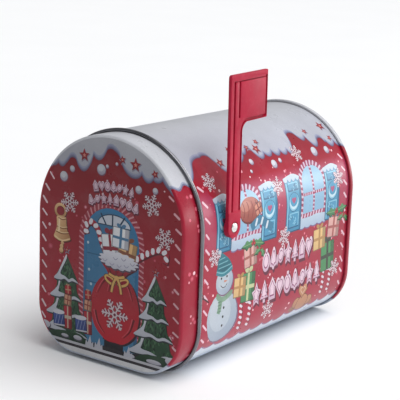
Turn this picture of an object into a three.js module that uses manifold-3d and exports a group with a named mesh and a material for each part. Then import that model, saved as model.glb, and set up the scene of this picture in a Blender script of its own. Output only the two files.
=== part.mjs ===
// Tin money box in the shape of a mailbox: a printed tinplate barrel with a seamed rear panel,
// a slip-on front lid with a rolled edge, and a plastic flag that turns on a rivet.
// Millimetres, +Z up, the lid faces -Y, the flag is on the +X side.
//
// Design coordinates: x from the tin's centre plane, y from the middle of the lid's rolled edge
// towards the rear, z from the surface that the tin stands on. The last lines move the whole tin so
// that the origin is in the middle of its base.

import * as THREE from "three";
import { mergeVertices } from "three/addons/utils/BufferGeometryUtils.js";
import Module from "manifold-3d";

const wasm = await Module();
wasm.setup();

// ---------------------------------------------------------------- driving dimensions

const SHEET = 0.3; // tinplate
const GAP = 0.3; // clearance between neighbouring pieces

const RIM_PROUD = 1.5; // how far the rolled edge and the rear seam stand out of the barrel wall
const HALF_WIDTH = 51; // barrel wall, outside
const BARREL_FLOOR = RIM_PROUD; // underside of the barrel: the tin stands on its two rims
const CORNER_RADIUS = 27.5; // bottom corners, outside
const SPRING_LINE = 80; // height where the straight sides turn into the arch
const ARCH_RISE = 49.1; // height of the arch above that line, outside

const BARREL_REAR = 157.4; // rear face of the rear seam
const LID_FRONT = -14.4; // front face of the lid
const LID_EDGE_RADIUS = 1.5;
const LID_INSET = 0.5; // lid skirt inside the barrel wall's line
const CURL_RADIUS = (RIM_PROUD + LID_INSET + SHEET) / 2; // rolled edge of the lid

const NECK_FRONT = -11.5; // front edge of the barrel's neck
const NECK_STEP = [1.6, 2.8]; // where the wall steps in to the neck

const SEAM_WIDTH = 3;
const PANEL_RECESS = 3.4; // countersink of the rear panel, from the seam's rear face
const PANEL_STEP_RADIUS = 0.9;
const PANEL_FRAME = 9; // flat frame between the countersink and the raised middle of the rear panel
const PANEL_RAISE = 0.8;
const PANEL_SLOPE = 1.5;

const SLOT_LENGTH = 38; // coin slot, takes coins up to about 35 mm across
const SLOT_WIDTH = 5;
const SLOT_HEIGHT = 96; // height of the slot's centre

const LOCK_SEAM_WIDTH = 4.5; // folded seam inside the bottom of the barrel
const LOCK_SEAM_HEIGHT = 0.6;

const RIVET_Y = 24; // the flag's axis, parallel to X
const RIVET_Z = 81.4;
const SHANK_RADIUS = 1.6;
const HOLE_RADIUS = 1.9;
const HEAD_RADIUS = 2.6;
const HEAD_HEIGHT = 1;
const SPACER_RADIUS = 4.4;
const SPACER_THICKNESS = 0.5;
const WASHER_RADIUS = 3.2;
const WASHER_THICKNESS = 0.6;
const WASHER_FACE = 50.2; // outer face of the washer inside the barrel
const TAIL_RADIUS = 2.4;
const TAIL_THICKNESS = 0.7;
const TAIL_BORE = 0.9; // the rivet is hollow at its tail
const TAIL_BORE_DEPTH = 3;
const TAIL_ROUND = 0.3;
const HEAD_EDGE = 0.2; // upright rim under the head's dome

const FLAG_LEAN = 1.5; // degrees, the raised flag leans a little to the front
const POLE_WIDTH = 11.2;
const FLAG_THICKNESS = 2;
const BOSS_RADIUS = 5.8;
const BOSS_THICKNESS = 3.3;
const BOSS_PROUD = 0.4; // boss in front of the pole's face
const BOSS_TOP = 8.6; // upper end of the boss's raised face, above the rivet
const COUNTERBORE_RADIUS = 3.1;
const COUNTERBORE_DEPTH = 0.6;
const FLAG_TOP = 82; // above the rivet
const PLATE_BOTTOM = 56; // above the rivet
const PLATE_WIDTH = 34.4; // from the pole's front edge
const PLATE_CORNER = 1.6;
const PLATE_FILLET = 5;
const GROOVE_DEPTH = 1.2;
const GROOVE_WIDTH = 1.6;
const POLE_BORDER = 2.6; // strip along the pole's front edge and the plate's top
const POLE_RIB = 3.2; // rib between the two upright grooves of the plate
const THIN_LIP = 0.6; // lip along the pole's rear edge and the plate's free edges

const ARCH_STEPS = 34;
const CORNER_STEPS = 6;
const ROUND_STEPS = 24;

// places along x on the flag's side, from the wall outwards
const BOSS_BACK = HALF_WIDTH + GAP + SPACER_THICKNESS + GAP;
const BOSS_FACE = BOSS_BACK + BOSS_THICKNESS;
const FLAG_FACE = BOSS_FACE - BOSS_PROUD;
const FLAG_BACK = FLAG_FACE - FLAG_THICKNESS;
const HEAD_SEAT = BOSS_FACE - COUNTERBORE_DEPTH + GAP;

// ---------------------------------------------------------------- section of the tin

// The closed outline of the tin, [x, z] points, anticlockwise seen from the front. The offset is
// measured outwards from the barrel wall's outer surface.
function section(offset) {
  const half = HALF_WIDTH + offset;
  const floor = BARREL_FLOOR - offset;
  const corner = CORNER_RADIUS + offset;
  const rise = ARCH_RISE + offset;
  const points = [];
  for (let i = 0; i <= CORNER_STEPS; i++) {
    const angle = -Math.PI / 2 + (i / CORNER_STEPS) * (Math.PI / 2);
    points.push([half - corner + corner * Math.cos(angle), floor + corner + corner * Math.sin(angle)]);
  }
  for (let i = 0; i <= ARCH_STEPS; i++) {
    const angle = (i / ARCH_STEPS) * Math.PI;
    points.push([half * Math.cos(angle), SPRING_LINE + rise * Math.sin(angle)]);
  }
  for (let i = 0; i <= CORNER_STEPS; i++) {
    const angle = Math.PI + (i / CORNER_STEPS) * (Math.PI / 2);
    points.push([corner - half + corner * Math.cos(angle), floor + corner + corner * Math.sin(angle)]);
  }
  return points;
}

// Sweeps a profile of [y, offset] points round the section. A closed profile gives a ring. An open
// one starts on the rear of a flat face and ends on its front, and both are closed with a fan. Going
// along the profile, the material is on the left, seen with y to the right and the offset upwards.
function sweepProfile(profile, closed) {
  const rings = profile.map(([y, offset]) => section(offset).map(([x, z]) => [x, y, z]));
  const count = rings[0].length;
  const positions = rings.flat(2);
  const index = [];
  const spans = closed ? rings.length : rings.length - 1;
  for (let r = 0; r < spans; r++) {
    const here = r * count;
    const next = ((r + 1) % rings.length) * count;
    for (let i = 0; i < count; i++) {
      const j = (i + 1) % count;
      index.push(here + i, next + j, next + i);
      index.push(here + i, here + j, next + j);
    }
  }
  if (!closed) {
    addFan(positions, index, 0, count, profile[0][0], 1);
    addFan(positions, index, (rings.length - 1) * count, count, profile.at(-1)[0], -1);
  }
  const geometry = new THREE.BufferGeometry();
  geometry.setAttribute("position", new THREE.Float32BufferAttribute(positions, 3));
  geometry.setIndex(index);
  return geometry;
}

// Closes one ring of points with triangles to its middle, facing +Y or -Y.
function addFan(positions, index, start, count, y, facing) {
  const centre = positions.length / 3;
  positions.push(0, y, SPRING_LINE);
  for (let i = 0; i < count; i++) {
    const j = (i + 1) % count;
    if (facing < 0) index.push(start + i, start + j, centre);
    else index.push(start + j, start + i, centre);
  }
}

// ---------------------------------------------------------------- solids

function toSolid(geometry) {
  const bare = geometry.clone();
  bare.deleteAttribute("normal");
  bare.deleteAttribute("uv");
  const merged = mergeVertices(bare, 1e-4);
  const corners = merged.index.array;
  const triangles = [];
  for (let t = 0; t < corners.length; t += 3) {
    const [a, b, c] = corners.slice(t, t + 3);
    const isFlat = a === b || b === c || c === a; // at the tip of a lathe
    if (!isFlat) triangles.push(a, b, c);
  }
  return new wasm.Manifold(
    new wasm.Mesh({
      numProp: 3,
      vertProperties: new Float32Array(merged.attributes.position.array),
      triVerts: new Uint32Array(triangles),
    }),
  );
}

function toGeometry(solid) {
  const mesh = solid.getMesh();
  const geometry = new THREE.BufferGeometry();
  geometry.setAttribute("position", new THREE.Float32BufferAttribute(mesh.vertProperties, 3));
  geometry.setIndex(Array.from(mesh.triVerts));
  geometry.computeVertexNormals();
  return geometry;
}

// A cylinder along X from one x to another, round an axis at y, z.
function axisCylinder(radius, fromX, toX, y, z) {
  const geometry = new THREE.CylinderGeometry(radius, radius, toX - fromX, ROUND_STEPS);
  geometry.rotateZ(Math.PI / 2);
  geometry.translate((fromX + toX) / 2, y, z);
  return toSolid(geometry);
}

// An outline in the flag's plane, [along y, along z] from the flag's axis, made into a plate
// between two x values.
function flagPlate(shape, fromX, toX) {
  const geometry = new THREE.ExtrudeGeometry(shape, {
    depth: toX - fromX,
    bevelEnabled: false,
    curveSegments: 6,
  });
  geometry.applyMatrix4(
    new THREE.Matrix4().makeBasis(
      new THREE.Vector3(0, 1, 0),
      new THREE.Vector3(0, 0, 1),
      new THREE.Vector3(1, 0, 0),
    ),
  );
  geometry.translate(fromX, 0, 0);
  return toSolid(geometry);
}

function rectangle(left, bottom, right, top) {
  const shape = new THREE.Shape();
  shape.moveTo(left, bottom);
  shape.lineTo(right, bottom);
  shape.lineTo(right, top);
  shape.lineTo(left, top);
  shape.closePath();
  return shape;
}

// ---------------------------------------------------------------- barrel

const NECK = -LID_INSET - SHEET - GAP; // offset of the neck's outer surface

function barrelProfile() {
  const hookFront = BARREL_REAR - SHEET - GAP - SHEET;
  const hookRear = BARREL_REAR - SHEET - GAP;
  const hookTop = RIM_PROUD - SHEET - GAP;
  const [stepFront, stepRear] = NECK_STEP;
  return [
    [NECK_FRONT, NECK],
    [NECK_FRONT, NECK - SHEET],
    [stepFront, NECK - SHEET],
    [stepRear, -SHEET],
    [hookRear, -SHEET],
    [hookRear, hookTop],
    [hookFront, hookTop],
    [hookFront, 0],
    [stepRear, 0],
    [stepFront, NECK],
  ];
}

// The folded lock seam that closes the barrel, a flat ridge along the inside of the floor. It stops
// short of the rear panel.
function lockSeam() {
  const from = NECK_STEP[1];
  const to = BARREL_REAR - PANEL_RECESS - SHEET - GAP;
  const bottom = BARREL_FLOOR + SHEET / 2;
  const top = BARREL_FLOOR + SHEET + LOCK_SEAM_HEIGHT;
  const ridge = new THREE.BoxGeometry(LOCK_SEAM_WIDTH, to - from, top - bottom);
  ridge.translate(0, (from + to) / 2, (bottom + top) / 2);
  return toSolid(ridge);
}

function makeBarrel() {
  const wall = toSolid(sweepProfile(barrelProfile(), true));
  const hole = axisCylinder(HOLE_RADIUS, WASHER_FACE, BOSS_BACK, RIVET_Y, RIVET_Z);
  return toGeometry(wall.add(lockSeam()).subtract(hole));
}

// ---------------------------------------------------------------- rear panel

function rearPanelProfile() {
  const wallIn = -SHEET - GAP; // countersink wall, inside the barrel wall
  const floorFront = BARREL_REAR - PANEL_RECESS - SHEET;
  const floorRear = BARREL_REAR - PANEL_RECESS;
  const hookFront = BARREL_REAR - SEAM_WIDTH;
  const chamfer = 0.4; // of the seam's outer edges
  return [
    // rear side, from the middle outwards
    [floorRear + PANEL_RAISE, wallIn - PANEL_FRAME - PANEL_SLOPE],
    [floorRear, wallIn - PANEL_FRAME],
    [floorRear, wallIn - SHEET - PANEL_STEP_RADIUS],
    [floorRear + PANEL_STEP_RADIUS / 3, wallIn - SHEET - PANEL_STEP_RADIUS / 3],
    [floorRear + PANEL_STEP_RADIUS, wallIn - SHEET],
    // the seam's rear face and outside
    [BARREL_REAR, wallIn - SHEET],
    [BARREL_REAR, RIM_PROUD - chamfer],
    [BARREL_REAR - chamfer, RIM_PROUD],
    [hookFront + chamfer, RIM_PROUD],
    [hookFront, RIM_PROUD - chamfer],
    [hookFront, GAP],
    // inside the seam
    [hookFront + SHEET, GAP],
    [hookFront + SHEET, RIM_PROUD - SHEET],
    [BARREL_REAR - SHEET, RIM_PROUD - SHEET],
    [BARREL_REAR - SHEET, wallIn],
    // front side, back to the middle
    [floorFront + PANEL_STEP_RADIUS, wallIn],
    [floorFront + PANEL_STEP_RADIUS / 3, wallIn - PANEL_STEP_RADIUS / 3],
    [floorFront, wallIn - PANEL_STEP_RADIUS],
    [floorFront, wallIn - PANEL_FRAME],
    [floorFront + PANEL_RAISE, wallIn - PANEL_FRAME - PANEL_SLOPE],
  ];
}

function makeRearPanel() {
  const panel = toSolid(sweepProfile(rearPanelProfile(), false));
  const straight = SLOT_LENGTH / 2 - SLOT_WIDTH / 2;
  const outline = new THREE.Shape();
  outline.absarc(straight, 0, SLOT_WIDTH / 2, -Math.PI / 2, Math.PI / 2);
  outline.absarc(-straight, 0, SLOT_WIDTH / 2, Math.PI / 2, (3 * Math.PI) / 2);
  const depth = 2 * PANEL_RECESS; // well past both faces of the panel
  const slot = new THREE.ExtrudeGeometry(outline, { depth, bevelEnabled: false, curveSegments: 6 });
  slot.rotateX(Math.PI / 2);
  slot.translate(0, BARREL_REAR - PANEL_RECESS + depth / 2, SLOT_HEIGHT);
  return toGeometry(panel.subtract(toSolid(slot)));
}

// ---------------------------------------------------------------- front lid

function lidProfile() {
  const outer = -LID_INSET;
  const inner = outer - SHEET;
  const steps = 4;
  const edgePoint = (radius, angle) => [
    LID_FRONT + LID_EDGE_RADIUS - radius * Math.cos(angle),
    outer - LID_EDGE_RADIUS + radius * Math.sin(angle),
  ];
  const quarter = Math.PI / 2;
  const profile = [];
  // inside, from the middle of the face to the rolled edge
  for (let i = 0; i <= steps; i++) profile.push(edgePoint(LID_EDGE_RADIUS - SHEET, (i / steps) * quarter));
  // the roll: the sheet leaves the skirt backwards and turns outwards and forwards again
  const curlCentre = inner + CURL_RADIUS;
  const turns = 9;
  const last = 1.55 * Math.PI; // the roll stays open, clear of the skirt
  const rollPoint = (radius, angle) => [
    radius * Math.sin(angle),
    curlCentre - radius * Math.cos(angle),
  ];
  for (let i = 0; i <= turns; i++) profile.push(rollPoint(CURL_RADIUS, (i / turns) * last));
  for (let i = turns; i >= 0; i--) profile.push(rollPoint(CURL_RADIUS - SHEET, (i / turns) * last));
  // outside, back to the middle of the face
  for (let i = steps; i >= 0; i--) profile.push(edgePoint(LID_EDGE_RADIUS, (i / steps) * quarter));
  return profile;
}

function makeFrontLid() {
  return toGeometry(toSolid(sweepProfile(lidProfile(), false)));
}

// ---------------------------------------------------------------- flag

function flagOutline() {
  const half = POLE_WIDTH / 2;
  const right = PLATE_WIDTH - half;
  const shape = new THREE.Shape();
  shape.moveTo(-half, 0);
  shape.lineTo(half, 0);
  shape.lineTo(half, PLATE_BOTTOM - PLATE_FILLET);
  shape.absarc(half + PLATE_FILLET, PLATE_BOTTOM - PLATE_FILLET, PLATE_FILLET, Math.PI, Math.PI / 2, true);
  shape.lineTo(right, PLATE_BOTTOM);
  shape.lineTo(right, FLAG_TOP);
  shape.lineTo(PLATE_CORNER - half, FLAG_TOP);
  shape.absarc(PLATE_CORNER - half, FLAG_TOP - PLATE_CORNER, PLATE_CORNER, Math.PI / 2, Math.PI);
  shape.closePath();
  return shape;
}

// The grooves of the flag's face. One runs up the front of the pole and along the plate's top. One
// runs up the pole's rear edge and round the plate's free edges. One parts the plate's panel from
// the pole.
function flagGrooves() {
  const half = POLE_WIDTH / 2;
  const front = POLE_BORDER - half;
  const rear = half - THIN_LIP;
  const right = PLATE_WIDTH - half - THIN_LIP;
  const top = FLAG_TOP - POLE_BORDER;
  const low = PLATE_BOTTOM + THIN_LIP;
  const bend = half + PLATE_FILLET; // the middle of the fillet, along y
  const panel = front + GROOVE_WIDTH + POLE_RIB;
  const corner = new THREE.Shape();
  const bendLow = PLATE_BOTTOM - PLATE_FILLET;
  const inner = PLATE_FILLET + THIN_LIP;
  corner.absarc(bend, bendLow, inner + GROOVE_WIDTH, Math.PI, Math.PI / 2, true);
  corner.absarc(bend, bendLow, inner, Math.PI / 2, Math.PI);
  return [
    rectangle(front, BOSS_TOP, front + GROOVE_WIDTH, top),
    rectangle(front, top - GROOVE_WIDTH, right, top),
    rectangle(rear - GROOVE_WIDTH, BOSS_TOP, rear, bendLow),
    corner,
    rectangle(bend, low, right, low + GROOVE_WIDTH),
    rectangle(right - GROOVE_WIDTH, low, right, top),
    rectangle(panel, low + 2 * GROOVE_WIDTH, panel + GROOVE_WIDTH, top - 2 * GROOVE_WIDTH),
  ];
}

// The flag upright, with its axis at y = 0, z = 0.
function makeFlag() {
  const half = POLE_WIDTH / 2;
  let flag = flagPlate(flagOutline(), FLAG_BACK, FLAG_FACE);
  flag = flag.add(axisCylinder(BOSS_RADIUS, BOSS_BACK, BOSS_FACE, 0, 0));
  flag = flag.add(flagPlate(rectangle(-half, 0, half, BOSS_TOP), FLAG_BACK, BOSS_FACE));
  for (const groove of flagGrooves()) {
    flag = flag.subtract(flagPlate(groove, FLAG_FACE - GROOVE_DEPTH, BOSS_FACE));
  }
  flag = flag.subtract(axisCylinder(HOLE_RADIUS, BOSS_BACK - 1, BOSS_FACE + 1, 0, 0));
  flag = flag.subtract(axisCylinder(COUNTERBORE_RADIUS, BOSS_FACE - COUNTERBORE_DEPTH, BOSS_FACE + 1, 0, 0));
  return toGeometry(flag);
}

// ---------------------------------------------------------------- rivet and washers

// A lathe about the flag's axis. The profile is [radius, x] points.
function turned(profile) {
  const points = profile.map(([radius, x]) => new THREE.Vector2(radius, x));
  const geometry = new THREE.LatheGeometry(points, ROUND_STEPS);
  geometry.rotateZ(-Math.PI / 2);
  geometry.translate(0, RIVET_Y, RIVET_Z);
  return toGeometry(toSolid(geometry));
}

function makeRivet() {
  const tail = WASHER_FACE - WASHER_THICKNESS - GAP;
  const tailEnd = tail - TAIL_THICKNESS;
  const profile = [
    [0, tailEnd + TAIL_BORE_DEPTH],
    [TAIL_BORE, tailEnd + TAIL_BORE_DEPTH],
    [TAIL_BORE, tailEnd + TAIL_ROUND],
    [TAIL_BORE + TAIL_ROUND, tailEnd],
    [TAIL_RADIUS - TAIL_ROUND, tailEnd],
    [TAIL_RADIUS, tailEnd + TAIL_ROUND],
    [TAIL_RADIUS, tail],
    [SHANK_RADIUS, tail],
    [SHANK_RADIUS, HEAD_SEAT],
    [HEAD_RADIUS, HEAD_SEAT],
  ];
  const steps = 5;
  const dome = HEAD_HEIGHT - HEAD_EDGE;
  for (let i = 0; i < steps; i++) {
    const angle = (i / steps) * (Math.PI / 2);
    profile.push([HEAD_RADIUS * Math.cos(angle), HEAD_SEAT + HEAD_EDGE + dome * Math.sin(angle)]);
  }
  profile.push([0, HEAD_SEAT + HEAD_HEIGHT]);
  return turned(profile);
}

function makeWasher(radius, fromX, toX) {
  return turned([
    [HOLE_RADIUS, fromX],
    [radius, fromX],
    [radius, toX],
    [HOLE_RADIUS, toX],
    [HOLE_RADIUS, fromX],
  ]);
}

// ---------------------------------------------------------------- assembly

const PAINT = { roughness: 0.35, metalness: 0.1 };
const printedRed = new THREE.MeshStandardMaterial({ color: 0xa83248, ...PAINT });
const printedDark = new THREE.MeshStandardMaterial({ color: 0x8a2a36, ...PAINT });
const printedWhite = new THREE.MeshStandardMaterial({ color: 0xb9bfc8, ...PAINT });
const plainSteel = new THREE.MeshStandardMaterial({ color: 0x9a9ea5, roughness: 0.3, metalness: 0.9 });
const flagRed = new THREE.MeshStandardMaterial({ color: 0xc42038, roughness: 0.4, metalness: 0 });
const rivetSilver = new THREE.MeshStandardMaterial({ color: 0xd8dade, roughness: 0.2, metalness: 1 });

const tin = new THREE.Group();

function addPiece(name, geometry, material) {
  const mesh = new THREE.Mesh(geometry, material);
  mesh.name = name;
  tin.add(mesh);
  return mesh;
}

const spacerFrom = HALF_WIDTH + GAP;
const washerFrom = WASHER_FACE - WASHER_THICKNESS;
addPiece("barrel", makeBarrel(), printedRed);
addPiece("rear_panel", makeRearPanel(), printedWhite);
addPiece("front_lid", makeFrontLid(), printedDark);
const flag = addPiece("flag", makeFlag(), flagRed);
flag.position.set(0, RIVET_Y, RIVET_Z);
flag.rotation.x = THREE.MathUtils.degToRad(FLAG_LEAN);
addPiece("flag_rivet", makeRivet(), rivetSilver);
addPiece("flag_spacer", makeWasher(SPACER_RADIUS, spacerFrom, spacerFrom + SPACER_THICKNESS), plainSteel);
addPiece("rivet_washer", makeWasher(WASHER_RADIUS, washerFrom, WASHER_FACE), plainSteel.clone());

// the origin goes to the middle of the base of everything
const leftmost = -(HALF_WIDTH + RIM_PROUD);
const rightmost = HEAD_SEAT + HEAD_HEIGHT;
tin.position.set(-(leftmost + rightmost) / 2, -(LID_FRONT + BARREL_REAR) / 2, 0);

export default tin;
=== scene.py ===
"""Printed tin money box in the shape of a mailbox, with a slip-on lid and a plastic flag.

Shapes are given in millimetres, in the tin's own coordinates: x from its centre plane, y from the
middle of the lid's rolled edge towards the rear, z from the surface that it stands on.
"""

import math
import random

import bmesh
import bpy
import numpy as np
from mathutils import Matrix, Vector
from mathutils.geometry import delaunay_2d_cdt


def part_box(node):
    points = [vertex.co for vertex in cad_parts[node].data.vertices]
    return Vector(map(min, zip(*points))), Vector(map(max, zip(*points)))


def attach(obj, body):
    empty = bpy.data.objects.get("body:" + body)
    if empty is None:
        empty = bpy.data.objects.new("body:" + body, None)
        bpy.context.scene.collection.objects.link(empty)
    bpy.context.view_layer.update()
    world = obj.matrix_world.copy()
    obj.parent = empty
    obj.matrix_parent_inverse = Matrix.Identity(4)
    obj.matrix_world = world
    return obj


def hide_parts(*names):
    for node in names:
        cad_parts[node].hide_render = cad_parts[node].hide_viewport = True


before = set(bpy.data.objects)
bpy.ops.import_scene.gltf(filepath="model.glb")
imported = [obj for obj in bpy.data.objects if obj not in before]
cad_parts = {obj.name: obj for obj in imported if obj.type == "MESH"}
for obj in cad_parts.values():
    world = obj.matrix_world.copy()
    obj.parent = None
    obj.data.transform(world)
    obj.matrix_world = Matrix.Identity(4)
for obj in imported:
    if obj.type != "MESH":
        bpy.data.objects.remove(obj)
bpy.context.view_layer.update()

MM = 0.001

# ---------------------------------------------------------------- dimensions

SHEET = 0.3
HALF_WIDTH = 51
BARREL_FLOOR = 1.5
CORNER_RADIUS = 27.5
SPRING_LINE = 80
ARCH_RISE = 49.1
BARREL_REAR = 157.4
LID_FRONT = -14.4
LID_EDGE_RADIUS = 1.5
LID_INSET = 0.5
RIM_PROUD = 1.5
CURL_RADIUS = (RIM_PROUD + LID_INSET + SHEET) / 2
NECK_FRONT = -11.5
NECK_STEP = (1.6, 2.8)
NECK_OFFSET = -1.1
NECK_BEND = 0.6
CURL_TURN = 1.55 * math.pi  # how far round the lid's edge is rolled
LID_PRINT_END = -0.35  # where the print stops at the rolled edge
FLANGE_FRONT = BARREL_REAR - 0.9
FLANGE_REAR = BARREL_REAR - 0.6
FLANGE_TOP = 0.9
LOCK_SEAM_HALF = 2.25
LOCK_SEAM_LOW = 1.75
LOCK_SEAM_HIGH = 2.35
LOCK_SEAM_REAR = 153.2
SEAM_WIDTH = 3
SEAM_END = 0.3  # offset of the seam's front end
PANEL_FACE = BARREL_REAR - 3.4
PANEL_FRAME = 9
PANEL_RAISE = 0.8
PANEL_SLOPE = 1.5
PANEL_WALL = -0.9  # offset of the countersink's wall
PANEL_BEND = 0.9
PANEL_INNER = PANEL_WALL + SHEET - PANEL_FRAME  # offset where the raised middle starts
SLOT_LENGTH = 38
SLOT_WIDTH = 5
SLOT_HEIGHT = 96
FILM = 0.04  # thickness of the printed skins
UNDER_FILM = 0.05  # the bare sheet's surface lies this far under the print

RIVET_Y = 24
RIVET_Z = 81.4
HOLE_RADIUS = 1.9

FLAG_LEAN = 1.5
FLAG_BACK = 53.0
FLAG_FACE = 55.0
BOSS_BACK = 52.1
BOSS_FACE = 55.4
BOSS_RADIUS = 5.8
BOSS_TOP = 8.6
POLE_HALF = 5.6
FLAG_TOP = 82
PLATE_BOTTOM = 56
PLATE_RIGHT = 34.4 - POLE_HALF
PLATE_FILLET = 5
POLE_BORDER = 2.6
POLE_RIB = 3.0
THIN_LIP = 0.4
FLAG_EDGE = 0.35  # how far the flag's edges are rounded
GROOVE_WIDTH = 1.6
GROOVE_DEPTH = 1.2
COUNTERBORE_RADIUS = 3.1
COUNTERBORE_DEPTH = 0.6

RIVET_SEAT = BOSS_FACE - 0.3
RIVET_HEAD = 2.6
RIVET_SHANK = 1.6
RIVET_BORE = 0.9
RIVET_BORE_END = 51.6
RIVET_FOOT = 2.4
FOOT_LOW, FOOT_HIGH = 48.6, 49.3
WASHER_EDGE = 0.12

lid_low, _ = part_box("front_lid")
panel_low, panel_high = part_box("rear_panel")
ORIGIN = np.array([(panel_low.x + panel_high.x) / 2, lid_low.y - LID_FRONT * MM, 0.0])


def place(points):
    """The tin's own millimetres to the row frame's metres."""
    return ORIGIN + np.asarray(points, float) * MM


# ---------------------------------------------------------------- section of the tin


def half_section():
    """Arc length, x, z and outward normal along the right half of the barrel wall's outline."""
    corner = np.radians(np.linspace(-90, 0, 25))
    arch = np.radians(np.linspace(0, 90, 61))
    flat = HALF_WIDTH - CORNER_RADIUS
    x = np.concatenate([[0], flat + CORNER_RADIUS * np.cos(corner), HALF_WIDTH * np.cos(arch)])
    low = BARREL_FLOOR + CORNER_RADIUS
    z = np.concatenate([[BARREL_FLOOR], low + CORNER_RADIUS * np.sin(corner),
                        SPRING_LINE + ARCH_RISE * np.sin(arch)])
    normal_x = np.concatenate([[0], np.cos(corner), ARCH_RISE * np.cos(arch)])
    normal_z = np.concatenate([[-1], np.sin(corner), HALF_WIDTH * np.sin(arch)])
    size = np.hypot(normal_x, normal_z)
    length = np.concatenate([[0], np.cumsum(np.hypot(np.diff(x), np.diff(z)))])
    return length, x, z, normal_x / size, normal_z / size


WALL_S, WALL_X, WALL_Z, WALL_NX, WALL_NZ = half_section()
HALF_LENGTH = WALL_S[-1]
SIDE_ZERO = CORNER_RADIUS * math.pi / 2 + HALF_WIDTH - CORNER_RADIUS - BARREL_FLOOR - CORNER_RADIUS


def wall(s):
    """x, z and normal of the outline at signed arc lengths from the bottom centre, right positive."""
    side = np.where(np.asarray(s) < 0, -1.0, 1.0)
    along = np.abs(s)
    x = np.interp(along, WALL_S, WALL_X) * side
    z = np.interp(along, WALL_S, WALL_Z)
    nx = np.interp(along, WALL_S, WALL_NX) * side
    nz = np.interp(along, WALL_S, WALL_NZ)
    return x, z, nx, nz


def ring_lengths():
    """Arc lengths of one trip round the outline."""
    return np.concatenate([-WALL_S[:0:-1], WALL_S[:-1]])


def outline(offset):
    """The closed outline at an offset from the barrel wall, as x, z points."""
    x, z, nx, nz = wall(ring_lengths())
    return np.column_stack([x + offset * nx, z + offset * nz])


def inside_offset(x, z):
    """How far outside the barrel wall's outline points lie, negative inside."""
    # over the arch, the offset is closed in on from both sides
    low = np.full(x.shape, -49.0)
    high = np.full(x.shape, 5.0)
    for _ in range(40):
        middle = (low + high) / 2
        outside = np.hypot(x / (HALF_WIDTH + middle), (z - SPRING_LINE) / (ARCH_RISE + middle)) > 1
        low = np.where(outside, middle, low)
        high = np.where(outside, high, middle)
    past_x = np.maximum(np.abs(x) - (HALF_WIDTH - CORNER_RADIUS), 0)
    past_z = np.maximum(BARREL_FLOOR + CORNER_RADIUS - z, 0)
    lower = np.where(past_z > 0, np.hypot(past_x, past_z) - CORNER_RADIUS, np.abs(x) - HALF_WIDTH)
    return np.where(z >= SPRING_LINE, low, lower)


# ---------------------------------------------------------------- flat shapes


def circle(x, z, radius, steps=20):
    return ellipse(x, z, radius, radius, 0, steps)


def ellipse(x, z, half_x, half_z, tilt=0, steps=20):
    angles = np.linspace(0, 2 * math.pi, steps, endpoint=False)
    points = np.column_stack([half_x * np.cos(angles), half_z * np.sin(angles)])
    return turned(points, tilt) + (x, z)


def turned(points, degrees, centre=(0, 0)):
    """Points turned round a centre."""
    cos, sin = math.cos(math.radians(degrees)), math.sin(math.radians(degrees))
    away = np.asarray(points, float) - centre
    return np.column_stack([cos * away[:, 0] - sin * away[:, 1],
                            sin * away[:, 0] + cos * away[:, 1]]) + centre


def rounded(points, radii, steps=5, closed=True):
    """The path through points with its corners rounded. radii is one number or one per point."""
    points = [np.asarray(p, float) for p in points]
    if np.isscalar(radii):
        radii = [radii] * len(points)
    path = []
    for i, here in enumerate(points):
        is_end = not closed and i in (0, len(points) - 1)
        if radii[i] <= 0 or is_end:
            path.append(here)
            continue
        back = points[i - 1] - here
        on = points[(i + 1) % len(points)] - here
        back_size, on_size = np.linalg.norm(back), np.linalg.norm(on)
        back, on = back / back_size, on / on_size
        half = math.acos(max(-1.0, min(1.0, float(back @ on)))) / 2
        reach = min(radii[i] / math.tan(half), back_size / 2, on_size / 2)
        radius = reach * math.tan(half)
        centre = here + (back + on) / np.linalg.norm(back + on) * radius / math.sin(half)
        first, last = here + back * reach - centre, here + on * reach - centre
        sweep = math.pi - 2 * half
        turn = math.copysign(sweep, first[0] * last[1] - first[1] * last[0])
        for step in range(steps + 1):
            path.append(turned([first], math.degrees(turn * step / steps))[0] + centre)
    return np.array(path)


def box(left, bottom, right, top, radius=0.0, tilt=0):
    corners = [(left, bottom), (right, bottom), (right, top), (left, top)]
    shape = rounded(corners, radius, 4) if radius else np.array(corners, float)
    return turned(shape, tilt, ((left + right) / 2, (bottom + top) / 2))


def smooth(points, steps=6, closed=True):
    """A smooth curve through points."""
    points = np.asarray(points, float)
    count = len(points)
    path = []
    for i in range(count if closed else count - 1):
        if closed:
            p0, p1, p2, p3 = (points[(i + k) % count] for k in (-1, 0, 1, 2))
        else:
            p0, p1, p2, p3 = (points[min(max(i + k, 0), count - 1)] for k in (-1, 0, 1, 2))
        slope = p2 - p0
        bend = 2 * p0 - 5 * p1 + 4 * p2 - p3
        twist = 3 * p1 - p0 - 3 * p2 + p3
        for step in range(steps):
            t = step / steps
            path.append(0.5 * (2 * p1 + slope * t + bend * t**2 + twist * t**3))
    if not closed:
        path.append(points[-1])
    return np.array(path)


def curve(points, steps=4):
    """A smooth open line through points."""
    return smooth(points, steps, closed=False)


def ribbon(path, width, end_width=None):
    """A band along a path, with its width from start to end."""
    path = np.asarray(path, float)
    along = np.gradient(path, axis=0)
    along /= np.linalg.norm(along, axis=1)[:, None]
    across = np.column_stack([-along[:, 1], along[:, 0]])
    half = np.linspace(width, width if end_width is None else end_width, len(path))[:, None] / 2
    return np.concatenate([path + across * half, (path - across * half)[::-1]])


def bar(x0, z0, x1, z1, width):
    """A straight bar with rounded ends."""
    length = math.hypot(x1 - x0, z1 - z0)
    half = width / 2
    shape = rounded([(0, -half), (length, -half), (length, half), (0, half)], half * 0.95, 2)
    return turned(shape, math.degrees(math.atan2(z1 - z0, x1 - x0))) + (x0, z0)


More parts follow.
